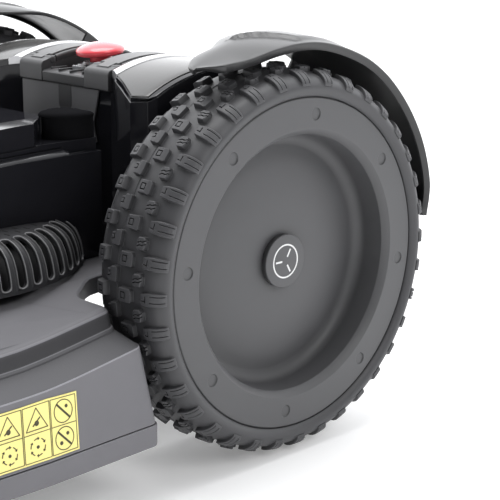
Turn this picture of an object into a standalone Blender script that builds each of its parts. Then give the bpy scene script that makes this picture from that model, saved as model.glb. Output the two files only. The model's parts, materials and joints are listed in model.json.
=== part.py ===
"""Robotic lawn mower: two large driven rear wheels, two front casters and a height-adjustable cutting disc.

Metres, +Z up. The front faces -Y and the mower's left side is +X. The origin lies on the ground,
under the centre of the bounding box.
"""
import math

import bmesh
import bpy
from mathutils import Matrix, Vector

# ---- driving dimensions -------------------------------------------------------------------------
GAP = 0.0003                      # clearance between pieces that touch
WALL = 0.003                      # moulded shell thickness
BEYOND = 0.40                     # how far a cutter reaches past what it cuts

WHEEL_RADIUS = 0.145              # over the tread
WHEEL_OUTER_X = 0.228             # face of the wheel disc
TYRE_OUTER_X = 0.232              # the sidewall bulges past the disc
TYRE_WIDTH = 0.078
RIM_RADIUS = 0.1230
AXLE_Y = 0.150
AXLE_Z = WHEEL_RADIUS
SHAFT_RADIUS = 0.009
HUB_RADIUS = 0.0203
DISH_DEPTH = 0.0205               # of the dish's middle, below the wheel's outer face
DISH_EDGE_DEPTH = 0.0295

FENDER_RADIUS = 0.1675            # outer skin, about the axle
FENDER_SKIN = 0.003
FENDER_LIP_X = 0.214              # outer edge of the turned-down lip
FENDER_BEAK_X = 0.176             # inner edge at the beak
FENDER_INNER_X = 0.134            # inner edge over the wheel
FENDER_WALL_RADIUS = 0.128        # the wall to the tower reaches down to this radius
FENDER_FRONT = math.radians(-25)  # angles from straight up, positive to the rear
FENDER_REAR = math.radians(86)
REAR_Y = AXLE_Y + FENDER_RADIUS * math.sin(FENDER_REAR)

DECK_HALF_WIDTH = 0.232
DECK_REAR_HALF_WIDTH = 0.2265
DECK_FRONT_Y = -REAR_Y
DECK_REAR_Y = 0.004               # at the top edge of the side panel
DECK_CORNER = 0.085
SKIRT_BOTTOM = 0.041
SEAM_Z = 0.058
DECK_SLOPE = 0.135                # the deck climbs towards the rear wheels
DECK_LEVEL_Y = -0.080             # in front of this line it is level
PANEL_TOP = 0.115                 # heights at y = 0
SHELF_TOP = 0.121
STEP_TOP = 0.135
STEP_HALF_WIDTH = 0.200
WAIST_HALF_WIDTH = 0.131
WAIST_TOP = 0.139

CUT_Y = -0.045                    # blade axis, also the centre of the vented ring
VENT_RADIUS = 0.137
VENT_TOP = 0.175
VENT_SLOTS = 11
HOOD_HALF_WIDTH = 0.090
HOOD_REAR_Y = 0.076
HOOD_FRONT_Y = -0.262
HOOD_TOP_REAR = 0.250
HOOD_TOP_FRONT = 0.183

TOWER_HALF_WIDTH = 0.132
TOWER_BOTTOM = 0.1160
TOWER_FRONT_Y = 0.0865
TOWER_REAR_Y = 0.285
ARC_RADIUS = 0.135                # the tower's top follows this arc in side view
ARC_Y = 0.158
ARC_TOP = 0.283
TOWER_STEPS = 10
COVER_THICKNESS = 0.004
MODULE_HALF_WIDTH = 0.0595
CHANNEL_HALF_WIDTH = 0.0275
MODULE_BOTTOM = 0.2590
MODULE_FRONT_Y = 0.108
MODULE_REAR_Y = 0.232
CHANNEL_FLOOR = 0.2675

BUTTON_Y = 0.147
BUTTON_RADIUS = 0.0200
BUTTON_LOW = 0.2598               # the stem's lower end, above the switch
BUTTON_TOP = 0.2900

CASTER_X = 0.150
CASTER_Y = -0.232
CASTER_TRAIL = 0.025
CASTER_RADIUS = 0.0475
CASTER_WIDTH = 0.032
FORK_PIN_RADIUS = 0.008
FORK_PIN_TOP = 0.1215

BLADE_RADIUS = 0.122
BLADE_Z = 0.035
BLADE_THICKNESS = 0.003
MOTOR_RADIUS = 0.0409
MOTOR_SHAFT_RADIUS = 0.006
SCREW_Y = CUT_Y - 0.062
SCREW_RADIUS = 0.004
SCREW_TOP = 0.1862
CHAMBER_RADIUS = 0.135
CHAMBER_TOP = 0.1100
FRAME_TOP = 0.1155
FRAME_HALF_WIDTH = 0.084
FRAME_END_Y = 0.262

CONTACT_X = 0.045
CONTACT_HALF = 0.014
CONTACT_LOW = 0.065
CONTACT_HIGH = 0.089
CONTACT_DEPTH = 0.0035

SIDES = {"left": 1, "right": -1}


# ---- materials and mesh tools -------------------------------------------------------------------
def material(name, colour, roughness, metallic=0.0):
    """Return the named Principled material, made once."""
    found = bpy.data.materials.get(name)
    if found:
        return found
    made = bpy.data.materials.new(name)
    made.use_nodes = True
    shader = made.node_tree.nodes["Principled BSDF"]
    shader.inputs["Base Color"].default_value = (*colour, 1.0)
    shader.inputs["Roughness"].default_value = roughness
    shader.inputs["Metallic"].default_value = metallic
    return made


def grey_plastic():
    return material("deck_plastic", (0.16, 0.16, 0.165), 0.55)


def dark_plastic():
    return material("dark_plastic", (0.05, 0.05, 0.053), 0.5)


def gloss_black():
    return material("gloss_black", (0.006, 0.006, 0.008), 0.08)


def tyre_rubber():
    return material("tyre_rubber", (0.10, 0.10, 0.105), 0.75)


def red_plastic():
    return material("stop_red", (0.75, 0.02, 0.03), 0.3)


def clear_plastic():
    return material("clear_ring", (0.8, 0.8, 0.8), 0.1)


def steel():
    return material("steel", (0.6, 0.6, 0.6), 0.3, 1.0)


def motor_metal():
    return material("motor_metal", (0.35, 0.35, 0.36), 0.4, 1.0)


def add_object(name, mesh, finish, smooth=False):
    """Link a mesh as a named object with its own material."""
    obj = bpy.data.objects.new(name, mesh)
    bpy.context.collection.objects.link(obj)
    mesh.materials.append(finish)
    if smooth:
        mesh.shade_smooth()
        mesh.set_sharp_from_angle(angle=math.radians(35))
    return obj


def mesh_from(bm, name):
    """Turn a bmesh into a mesh with its faces pointing out."""
    bmesh.ops.recalc_face_normals(bm, faces=bm.faces)
    mesh = bpy.data.meshes.new(name)
    bm.to_mesh(mesh)
    bm.free()
    return mesh


def box(name, low, high, finish, bevel=0.0):
    """A block between two corners, with optional rounded edges."""
    bm = bmesh.new()
    bmesh.ops.create_cube(bm, size=1.0)
    size = Vector(high) - Vector(low)
    middle = (Vector(high) + Vector(low)) / 2
    bmesh.ops.transform(bm, matrix=Matrix.Translation(middle) @ Matrix.Diagonal((*size, 1.0)), verts=bm.verts)
    obj = add_object(name, mesh_from(bm, name), finish)
    if bevel:
        round_edges(obj, bevel, 1)
    return obj


def round_edges(obj, width, segments=2, angle=40):
    """Round the sharp edges of an object with a Bevel modifier."""
    bevel = obj.modifiers.new("rounded", "BEVEL")
    bevel.width = width
    bevel.segments = segments
    bevel.limit_method = "ANGLE"
    bevel.angle_limit = math.radians(angle)


def prism(name, outline, low, high, finish, axis="Z"):
    """Extrude a flat outline along an axis; the outline's pairs are the other two axes in order."""
    place = {
        "X": lambda a, b, h: (h, a, b),
        "Y": lambda a, b, h: (a, h, b),
        "Z": lambda a, b, h: (a, b, h),
    }[axis]
    rings = [[place(a, b, height) for a, b in outline] for height in (low, high)]
    return loft(name, rings, finish)


def loft(name, rings, finish, smooth=False, strips=False):
    """Skin rings of equal point counts in order and cap both ends; strips caps a mirrored outline in rows."""
    bm = bmesh.new()
    loops = [[bm.verts.new(point) for point in ring] for ring in rings]
    count = len(rings[0])
    for lower, upper in zip(loops, loops[1:]):
        for i in range(count):
            j = (i + 1) % count
            bm.faces.new((lower[i], lower[j], upper[j], upper[i]))
    for loop in (loops[0], loops[-1]):
        if strips:
            for i in range(count // 2 - 1):
                bm.faces.new((loop[i], loop[i + 1], loop[count - 2 - i], loop[count - 1 - i]))
        else:
            bm.faces.new(loop)
    return add_object(name, mesh_from(bm, name), finish, smooth)


def turned(name, profile, centre, axis, finish, segments=32):
    """Turn a closed profile of (along, radius) pairs about an axis through centre."""
    bm = bmesh.new()
    along = {"X": Vector((1, 0, 0)), "Z": Vector((0, 0, 1))}[axis]
    out = {"X": Vector((0, 0, -1)), "Z": Vector((1, 0, 0))}[axis]
    verts = [bm.verts.new(Vector(centre) + along * a + out * r) for a, r in profile]
    edges = [bm.edges.new((verts[i], verts[(i + 1) % len(verts)])) for i in range(len(verts))]
    bmesh.ops.spin(bm, geom=verts + edges, cent=centre, axis=along, angle=math.tau, steps=segments,
                   use_merge=True)
    bmesh.ops.remove_doubles(bm, verts=bm.verts, dist=1e-6)
    bmesh.ops.delete(bm, geom=[edge for edge in bm.edges if not edge.link_faces], context="EDGES")
    return add_object(name, mesh_from(bm, name), finish, smooth=True)


def rod(name, centre, axis, low, high, radius, finish, segments=20, chamfer=0.0):
    """A solid round bar from low to high along its axis, with chamfered ends."""
    profile = [(low, 0.0), (low, radius - chamfer), (low + chamfer, radius),
               (high - chamfer, radius), (high, radius - chamfer), (high, 0.0)]
    if not chamfer:
        profile = [(low, 0.0), (low, radius), (high, radius), (high, 0.0)]
    return turned(name, profile, centre, axis, finish, segments)


def combine(obj, other, operation):
    """Apply a Boolean with another object, which stays as a hidden guide."""
    boolean = obj.modifiers.new(operation.lower(), "BOOLEAN")
    boolean.operation = operation
    boolean.object = other
    other.parent = obj
    other.hide_render = True
    other.display_type = "WIRE"
    return obj


def joint_empty(name, place, pieces, parent=None, parent_place=(0, 0, 0)):
    """Put an empty on a joint's axis and hang the pieces that move there from it, where they stand."""
    empty = bpy.data.objects.new(name, None)
    empty.empty_display_size = 0.02
    empty.parent = parent
    empty.location = Vector(place) - Vector(parent_place)
    bpy.context.collection.objects.link(empty)
    for piece in pieces:
        piece.parent = empty
        piece.matrix_parent_inverse = Matrix.Translation(place).inverted()
    return empty


def arc_points(centre, radius, start, stop, steps):
    """Points on an arc in the plane of a flat outline; angles in degrees."""
    angles = [math.radians(start + (stop - start) * i / steps) for i in range(steps + 1)]
    return [(centre[0] + radius * math.cos(a), centre[1] + radius * math.sin(a)) for a in angles]


def mirrored(half):
    """Complete an outline from its half with x >= 0, listed from front to rear."""
    return half + [(-x, y) for x, y in reversed(half) if x > 0]


# ---- deck ---------------------------------------------------------------------------------------
def deck_rise(y):
    """Extra height of the deck at y, relative to its height at y = 0."""
    return DECK_SLOPE * max(y, DECK_LEVEL_Y)


def deck_half(half_width, inset, rear_y):
    """Half outline of the deck in plan, front to rear, with a round front corner."""
    corner = DECK_CORNER - inset
    centre = (half_width - corner, DECK_FRONT_Y + inset + corner)
    rear_half_width = half_width - (DECK_HALF_WIDTH - DECK_REAR_HALF_WIDTH)
    return arc_points(centre, corner, -90, 0, 6) + [(half_width, DECK_LEVEL_Y), (rear_half_width, rear_y)]


def deck_ring(inset, height, rear_y, level=False):
    """One closed ring of the deck at a height above y = 0."""
    points = mirrored(deck_half(DECK_HALF_WIDTH - inset, inset, rear_y))
    return [(x, y, height if level else height + deck_rise(y)) for x, y in points]


def deck_cover():
    """The matte upper moulding: side panels, a shelf, one step and the waist to the tower."""
    step_inset = DECK_HALF_WIDTH - STEP_HALF_WIDTH
    cover = loft("deck_cover", [
        deck_ring(0.0005, SEAM_Z, DECK_REAR_Y + 0.011, level=True),
        deck_ring(0.003, PANEL_TOP - 0.002, DECK_REAR_Y),
        deck_ring(0.006, PANEL_TOP, DECK_REAR_Y - 0.001),
        deck_ring(step_inset - 0.003, SHELF_TOP, DECK_REAR_Y - 0.001),
        deck_ring(step_inset, STEP_TOP - 0.003, DECK_REAR_Y - 0.001),
        deck_ring(step_inset + 0.003, STEP_TOP, DECK_REAR_Y - 0.003),
    ], grey_plastic(), strips=True)
    waist_outline = mirrored([(0.120, -0.040), (WAIST_HALF_WIDTH + 0.012, -0.012),
                              (WAIST_HALF_WIDTH, 0.018), (WAIST_HALF_WIDTH, 0.080)])
    waist = prism("waist_guide", waist_outline, 0.1255, WAIST_TOP, grey_plastic())
    combine(cover, waist, "UNION")
    cavity = loft("deck_cavity_guide", [
        deck_ring(0.0045, SEAM_Z - 0.02, DECK_REAR_Y + 0.007, level=True),
        deck_ring(0.007, PANEL_TOP - 0.006, DECK_REAR_Y - 0.004),
        deck_ring(step_inset + 0.001, SHELF_TOP - 0.004, DECK_REAR_Y - 0.005),
        deck_ring(step_inset + 0.004, STEP_TOP - 0.004, DECK_REAR_Y - 0.006),
    ], grey_plastic(), strips=True)
    combine(cover, cavity, "DIFFERENCE")
    gap_half = WAIST_HALF_WIDTH - 0.002
    rear_gap = box("cutter_rear_gap", (-gap_half, -0.020, 0.03), (gap_half, 0.030, FRAME_TOP + 2 * GAP),
                   grey_plastic())
    combine(cover, rear_gap, "DIFFERENCE")
    opening_half = HOOD_HALF_WIDTH - 0.010
    opening = box("cutter_hood_opening", (-opening_half, HOOD_FRONT_Y + 0.006, 0.09),
                  (opening_half, HOOD_REAR_Y - 0.004, 0.2), grey_plastic())
    combine(cover, opening, "DIFFERENCE")
    for side, sign in SIDES.items():
        x = sign * CONTACT_X
        recess = box(f"cutter_contact_{side}", (x - CONTACT_HALF, DECK_FRONT_Y - 0.01, CONTACT_LOW),
                     (x + CONTACT_HALF, DECK_FRONT_Y + CONTACT_DEPTH, CONTACT_HIGH), grey_plastic())
        combine(cover, recess, "DIFFERENCE")
        hole = rod(f"cutter_caster_hole_{side}", (sign * CASTER_X, CASTER_Y, 0), "Z", 0.09, 0.2,
                   FORK_PIN_RADIUS + 0.006, grey_plastic(), 20)
        combine(cover, hole, "DIFFERENCE")
    return cover


def bumper_strip():
    """The lower strip that runs round the deck below the seam, open at the rear."""
    top = SEAM_Z - 2 * GAP
    outer = deck_half(DECK_HALF_WIDTH, 0.0, DECK_REAR_Y + 0.012)
    inner = deck_half(DECK_HALF_WIDTH - 0.007, 0.007, DECK_REAR_Y + 0.012)
    outer_path = list(reversed(outer)) + [(-x, y) for x, y in outer]
    inner_path = list(reversed(inner)) + [(-x, y) for x, y in inner]
    return prism("bumper_strip", outer_path + list(reversed(inner_path)), SKIRT_BOTTOM, top, grey_plastic())


def caster_cap(side):
    """A low round cap over the caster's swivel pin."""
    centre = (SIDES[side] * CASTER_X, CASTER_Y, STEP_TOP + deck_rise(CASTER_Y) + GAP)
    profile = [(0.0, 0.0), (0.0, 0.024), (0.004, 0.0235), (0.0075, 0.020), (0.009, 0.012), (0.009, 0.0)]
    return turned(f"caster_cap_{side}", profile, centre, "Z", grey_plastic(), 24)


# ---- vented ring and hood -----------------------------------------------------------------------
def vent_cover(side):
    """Half of the round vented shoulder that stands on the deck beside the hood."""
    sign = SIDES[side]
    base = WAIST_TOP + GAP
    centre = (0.0, CUT_Y, 0.0)
    profile = [(base, VENT_RADIUS - WALL), (base, VENT_RADIUS), (base + 0.010, VENT_RADIUS - 0.002),
               (base + 0.024, VENT_RADIUS - 0.010), (VENT_TOP - 0.004, VENT_RADIUS - 0.020),
               (VENT_TOP, VENT_RADIUS - 0.036), (VENT_TOP, 0.070), (VENT_TOP - WALL, 0.070),
               (VENT_TOP - WALL, VENT_RADIUS - 0.037), (VENT_TOP - 0.007, VENT_RADIUS - 0.0225),
               (base + 0.0225, VENT_RADIUS - 0.0128), (base + 0.009, VENT_RADIUS - 0.005)]
    cover = turned(f"vent_cover_{side}", profile, centre, "Z", grey_plastic(), 48)
    inner_x = HOOD_HALF_WIDTH + GAP
    low_x, high_x = sorted((-sign * BEYOND, sign * inner_x))
    cut = box(f"cutter_vent_{side}", (low_x, -BEYOND, 0.0), (high_x, BEYOND, BEYOND), grey_plastic())
    combine(cover, cut, "DIFFERENCE")
    behind = box(f"cutter_vent_rear_{side}", (-BEYOND, TOWER_FRONT_Y - 0.005, 0.0), (BEYOND, BEYOND, BEYOND),
                 grey_plastic())
    combine(cover, behind, "DIFFERENCE")
    combine(cover, vent_slots(side), "DIFFERENCE")
    return cover


def vent_slots(side):
    """Radial slot cutters, joined in one guide."""
    sign = SIDES[side]
    bm = bmesh.new()
    for i in range(VENT_SLOTS):
        turn = math.radians(-30 + 60 * i / (VENT_SLOTS - 1))
        matrix = (Matrix.Translation((0, CUT_Y, 0))
                  @ Matrix.Rotation(turn if sign > 0 else math.pi - turn, 4, "Z")
                  @ Matrix.Translation((VENT_RADIUS - 0.006, 0, STEP_TOP + 0.024))
                  @ Matrix.Diagonal((0.030, 0.005, 0.022, 1.0)))
        bmesh.ops.create_cube(bm, size=1.0, matrix=matrix)
    return add_object(f"cutter_slots_{side}", mesh_from(bm, "slots"), grey_plastic())


def hood_profile(inset, bottom_points):
    """Side view of the hood, front wall first, closed by the points of its lower edge."""
    return [(HOOD_FRONT_Y + inset, 0.155 - inset),
            (HOOD_FRONT_Y + 0.020 + inset, HOOD_TOP_FRONT - 0.008 - inset),
            (HOOD_FRONT_Y + 0.050, HOOD_TOP_FRONT - inset),
            (-0.060, HOOD_TOP_REAR - 0.012 - inset),
            (0.0, HOOD_TOP_REAR - 0.002 - inset),
            (0.030, HOOD_TOP_REAR - inset),
            (HOOD_REAR_Y - 0.010, HOOD_TOP_REAR - inset),
            (HOOD_REAR_Y - inset, HOOD_TOP_REAR - 0.010 - inset)] + bottom_points


def front_hood():
    """The gloss black centre cover, a shell open at the bottom with a slot along each side."""
    half = HOOD_HALF_WIDTH
    waist_y = -0.0405
    waist_base = WAIST_TOP + GAP
    deck_base = STEP_TOP + GAP
    bottom = [(HOOD_REAR_Y, waist_base), (waist_y, waist_base), (waist_y, deck_base + deck_rise(waist_y)),
              (DECK_LEVEL_Y, deck_base + deck_rise(DECK_LEVEL_Y)),
              (HOOD_FRONT_Y, deck_base + deck_rise(DECK_LEVEL_Y))]
    hood = prism("front_hood", hood_profile(0.0, bottom), -half, half, gloss_black(), axis="X")
    open_bottom = [(HOOD_REAR_Y - WALL, 0.09), (HOOD_FRONT_Y + WALL, 0.09)]
    hollow = prism("cutter_hood", hood_profile(WALL, open_bottom), -half + WALL, half - WALL, gloss_black(),
                   axis="X")
    combine(hood, hollow, "DIFFERENCE")
    for side, sign in SIDES.items():
        inner, outer = sorted((sign * (half - 0.0015), sign * (half + 0.01)))
        groove = box(f"cutter_groove_{side}", (inner, -0.060, 0.2190), (outer, 0.066, 0.2270), gloss_black())
        combine(hood, groove, "DIFFERENCE")
    return hood


# ---- tower --------------------------------------------------------------------------------------
def arc_z(y):
    """Height of the tower's top arc at y."""
    return ARC_TOP - ARC_RADIUS + math.sqrt(ARC_RADIUS ** 2 - (y - ARC_Y) ** 2)


def arc_stations(front_y, rear_y):
    """Points along the tower's length at which its arc is sampled."""
    return [front_y + (rear_y - front_y) * i / TOWER_STEPS for i in range(TOWER_STEPS + 1)]


def tower_nose_cutter(name):
    """What is cut from a tower piece's front to leave its two bevelled corners and recessed middle."""
    before = TOWER_FRONT_Y - 0.05
    beyond = TOWER_HALF_WIDTH + 0.01
    outline = mirrored([(beyond, before), (beyond, 0.096), (TOWER_HALF_WIDTH, 0.096), (0.128, 0.090),
                        (0.112, TOWER_FRONT_Y - 0.0001), (0.057, 0.1120)])
    return prism(name, outline, 0.0, 0.35, gloss_black())


def tower_profile(drop, front_y, rear_y, bottom):
    """Side view of the tower: front wall, arched top, rear wall and undercut."""
    top = [(y, arc_z(y) - drop) for y in arc_stations(front_y, rear_y)]
    return [(front_y, bottom)] + top + [(rear_y, 0.155), (rear_y - 0.030, bottom)]


def tower_shell():
    """The gloss black rear tower, a shell open at the bottom, bored for the wheel shafts."""
    drop = COVER_THICKNESS + 2 * GAP
    half = TOWER_HALF_WIDTH
    seat = MODULE_BOTTOM - GAP
    inner = MODULE_HALF_WIDTH + GAP
    shell = prism("tower_shell", tower_profile(drop, TOWER_FRONT_Y, TOWER_REAR_Y, TOWER_BOTTOM), -half, half,
                  gloss_black(), axis="X")
    combine(shell, tower_nose_cutter("cutter_tower_nose"), "DIFFERENCE")
    slot = box("cutter_module_seat", (-inner, 0.0, seat), (inner, BEYOND, BEYOND), gloss_black())
    combine(shell, slot, "DIFFERENCE")
    profile = tower_profile(drop + WALL, 0.1150, TOWER_REAR_Y - WALL, TOWER_BOTTOM - 0.01)
    hollow = prism("cutter_tower", [(y, min(z, seat - WALL)) for y, z in profile], WALL - half, half - WALL,
                   gloss_black(), axis="X")
    combine(shell, hollow, "DIFFERENCE")
    bore = rod("cutter_axle", (0, AXLE_Y, AXLE_Z), "X", -0.2, 0.2, 0.0160 + GAP, gloss_black(), 32)
    combine(shell, bore, "DIFFERENCE")
    well = rod("cutter_tower_well", (0, BUTTON_Y, 0), "Z", 0.250, 0.265, 0.0135, gloss_black(), 24)
    combine(shell, well, "DIFFERENCE")
    return shell


def arched_skin(name, inner_x, outer_x, front_y, rear_y, drop, thickness, finish):
    """A curved plate that follows the tower's arc between two x positions."""
    ys = arc_stations(front_y, rear_y)
    rings = []
    for x in (inner_x, outer_x):
        upper = [(x, y, arc_z(y) - drop) for y in ys]
        rings.append(upper + [(x, y, z - thickness) for x, y, z in reversed(upper)])
    return loft(name, rings, finish, smooth=True)


def shoulder_cover(side):
    """The gloss plate that tops the tower beside the centre module."""
    sign = SIDES[side]
    inner_x, outer_x = sign * (MODULE_HALF_WIDTH + 3 * GAP), sign * TOWER_HALF_WIDTH
    cover = arched_skin(f"shoulder_cover_{side}", inner_x, outer_x, TOWER_FRONT_Y, TOWER_REAR_Y, 0.0,
                        COVER_THICKNESS, gloss_black())
    return combine(cover, tower_nose_cutter(f"cutter_cover_nose_{side}"), "DIFFERENCE")


def module_section(x, top_drop=None, floor=None):
    """One upright slice of the centre module at x."""
    steps = 10
    ring = [(x, MODULE_FRONT_Y, MODULE_BOTTOM)]
    for i in range(steps + 1):
        y = MODULE_FRONT_Y + (MODULE_REAR_Y - MODULE_FRONT_Y) * i / steps
        height = arc_z(y) - (top_drop or 0.0)
        if floor:
            height = min(height, floor)
        ring.append((x, y, max(height, MODULE_BOTTOM + 0.003)))
    return ring + [(x, MODULE_REAR_Y, MODULE_BOTTOM)]


def top_module():
    """The dark centre module: two arched rails with a channel between them for the stop button."""
    edge, inner = MODULE_HALF_WIDTH, CHANNEL_HALF_WIDTH
    stations = [(edge, 0.004, None), (edge - 0.003, 0.0005, None), (inner + 0.003, 0.0005, None),
                (inner, 0.004, None), (inner - 0.0005, 0.004, CHANNEL_FLOOR)]
    stations += [(-x, drop, floor) for x, drop, floor in reversed(stations)]
    module = loft("top_module", [module_section(*station) for station in stations], dark_plastic())
    well = rod("cutter_button_well", (0, BUTTON_Y, 0), "Z", 0.24, 0.3, 0.0130 + GAP, dark_plastic(), 28)
    combine(module, well, "DIFFERENCE")
    return module


def rail_plate(side):
    """A thin light plate on top of a rail."""
    sign = SIDES[side]
    margin = 0.006
    return arched_skin(f"rail_plate_{side}", sign * (CHANNEL_HALF_WIDTH + margin),
                       sign * (MODULE_HALF_WIDTH - margin), MODULE_FRONT_Y + 0.014, MODULE_REAR_Y - 0.027,
                       -0.0022, 0.0014, grey_plastic())


def stop_button():
    """The red mushroom button, free to travel down into its collar."""
    head, stem = BUTTON_TOP - 0.0100, 0.0095
    profile = [(BUTTON_LOW, 0.0), (BUTTON_LOW, stem), (head, stem), (head, BUTTON_RADIUS - 0.002),
               (head + 0.0017, BUTTON_RADIUS), (BUTTON_TOP - 0.0056, BUTTON_RADIUS),
               (BUTTON_TOP - 0.0036, BUTTON_RADIUS - 0.0015), (BUTTON_TOP - 0.0010, BUTTON_RADIUS - 0.007),
               (BUTTON_TOP, 0.0)]
    return turned("stop_button", profile, (0, BUTTON_Y, 0), "Z", red_plastic(), 24)


def stop_collar():
    """The clear guide ring under the button."""
    low = MODULE_BOTTOM - 0.004
    inner, outer, flange = 0.0098, 0.0126, 0.0165
    step, high = CHANNEL_FLOOR + 0.0005, CHANNEL_FLOOR + 0.0035
    profile = [(low, inner), (low, outer), (step, outer), (step, flange), (high, flange), (high, inner)]
    return turned("stop_collar", profile, (0, BUTTON_Y, 0), "Z", clear_plastic(), 28)


def stop_switch():
    """The switch block that the button presses, in the hollow of the module."""
    top = MODULE_BOTTOM - 0.0043
    return box("stop_switch", (-0.012, BUTTON_Y - 0.012, top - 0.0175), (0.012, BUTTON_Y + 0.012, top),
               dark_plastic(), 0.001)


# ---- fenders ------------------------------------------------------------------------------------
def fender_inner_x(angle):
    """The fender narrows to a beak in front of the wheel's top."""
    blend = min(max((angle - FENDER_FRONT) / math.radians(30), 0.0), 1.0)
    return FENDER_BEAK_X - (FENDER_BEAK_X - FENDER_INNER_X) * math.sin(blend * math.pi / 2)


def fender(side):
    """The curved mudguard over a rear wheel with a turned-down lip and a wall to the tower."""
    sign = SIDES[side]
    steps = 20
    lip_x = FENDER_LIP_X
    rings = []
    for i in range(steps + 1):
        angle = FENDER_FRONT + (FENDER_REAR - FENDER_FRONT) * i / steps
        inner_x = fender_inner_x(angle)
        section = [(inner_x, FENDER_RADIUS - 0.0055), (inner_x, FENDER_RADIUS - 0.0025),
                   ((inner_x + lip_x) / 2, FENDER_RADIUS), (lip_x - 0.004, FENDER_RADIUS - 0.0010),
                   (lip_x, FENDER_RADIUS - 0.0035), (lip_x, FENDER_RADIUS - 0.0090),
                   (lip_x - 0.002, FENDER_RADIUS - 0.0090), (lip_x - 0.004, FENDER_RADIUS - 0.0045),
                   ((inner_x + lip_x) / 2, FENDER_RADIUS - FENDER_SKIN)]
        rings.append([(sign * x, AXLE_Y + r * math.sin(angle), AXLE_Z + r * math.cos(angle))
                      for x, r in section])
    band = loft(f"fender_{side}", rings, grey_plastic(), smooth=True)
    wall_angles = [math.radians(32 + 44 * i / 8) for i in range(9)]
    outer = FENDER_RADIUS - 0.0040
    outline = [(AXLE_Y + outer * math.sin(a), AXLE_Z + outer * math.cos(a)) for a in wall_angles]
    outline += [(AXLE_Y + FENDER_WALL_RADIUS * math.sin(a), AXLE_Z + FENDER_WALL_RADIUS * math.cos(a))
                for a in reversed(wall_angles)]
    low, high = sorted((sign * (TOWER_HALF_WIDTH + GAP), sign * (TOWER_HALF_WIDTH + GAP + WALL)))
    wall = prism(f"fender_wall_guide_{side}", outline, low, high, grey_plastic(), axis="X")
    combine(band, wall, "UNION")
    return band


# ---- rear wheels and drive ----------------------------------------------------------------------
def wheel_frame(side):
    """Turned profiles of the wheel are written for +X outwards; this mirrors them."""
    return SIDES[side], (0.0, AXLE_Y, AXLE_Z)


def wheel_turned(name, side, profile, finish, segments):
    """Turn a wheel profile given as (distance from the middle plane, radius)."""
    sign, centre = wheel_frame(side)
    return turned(name, [(sign * x, r) for x, r in profile], centre, "X", finish, segments)


def rear_tyre(side):
    """The tyre's envelope out to the tops of its lugs."""
    inner_x = TYRE_OUTER_X - TYRE_WIDTH
    r = WHEEL_RADIUS
    profile = [(inner_x + 0.004, RIM_RADIUS + GAP), (inner_x, RIM_RADIUS + 0.006),
               (inner_x + 0.006, r - 0.008), (inner_x + 0.014, r - 0.001), (inner_x + 0.019, r),
               (TYRE_OUTER_X - 0.018, r), (TYRE_OUTER_X - 0.010, r - 0.003),
               (TYRE_OUTER_X - 0.0035, r - 0.009), (TYRE_OUTER_X, r - 0.015),
               (TYRE_OUTER_X - 0.004, RIM_RADIUS + GAP)]
    return wheel_turned(f"rear_tyre_{side}", side, profile, tyre_rubber(), 48)


def wheel_disc(side):
    """The one-piece rim and dish, open to the tower side."""
    x = WHEEL_OUTER_X
    bore = SHAFT_RADIUS + GAP
    profile = [(x, RIM_RADIUS), (x, 0.1000), (x - 0.005, 0.0958), (x - 0.022, 0.0945), (x - 0.028, 0.0905),
               (x - DISH_EDGE_DEPTH, 0.0840), (x - 0.0250, 0.0550), (x - DISH_DEPTH, 0.0240),
               (x - DISH_DEPTH, bore),
               (0.1580, bore), (0.1580, 0.0200), (x - 0.0250, 0.0215), (x - 0.0330, 0.0840),
               (x - 0.0320, 0.0985), (0.1580, 0.1120), (0.1580, RIM_RADIUS)]
    return wheel_turned(f"wheel_disc_{side}", side, profile, dark_plastic(), 36)


def hub_cap(side):
    """The cap over the shaft's end."""
    low = WHEEL_OUTER_X - DISH_DEPTH + GAP
    high = low + 0.0047
    chamfer = 0.001
    profile = [(low, 0.0), (low, HUB_RADIUS), (high - chamfer, HUB_RADIUS), (high, HUB_RADIUS - chamfer),
               (high, 0.0)]
    return wheel_turned(f"hub_cap_{side}", side, profile, dark_plastic(), 24)


def drive_shaft(side):
    """The shaft from the gear motor to the wheel."""
    low, high = 0.0940, WHEEL_OUTER_X - DISH_DEPTH - 0.0005
    profile = [(low, 0.0), (low, SHAFT_RADIUS), (high, SHAFT_RADIUS), (high, 0.0)]
    return wheel_turned(f"drive_shaft_{side}", side, profile, steel(), 20)


def shaft_bearing(side):
    """The bearing in the tower's side wall."""
    low, high = 0.1240, 0.1330
    inner, outer = SHAFT_RADIUS + 0.0001, 0.0160
    profile = [(low, inner), (low, outer), (high, outer), (high, inner)]
    return wheel_turned(f"shaft_bearing_{side}", side, profile, steel(), 20)


def gear_motor(side):
    """The wheel's gear motor: a drum with a smaller motor can behind it."""
    profile = [(0.0050, 0.0), (0.0050, 0.0200), (0.0500, 0.0200), (0.0500, 0.0270), (0.0900, 0.0270),
               (0.0900, 0.0150), (0.0937, 0.0150), (0.0937, 0.0)]
    return wheel_turned(f"gear_motor_{side}", side, profile, motor_metal(), 28)


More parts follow.
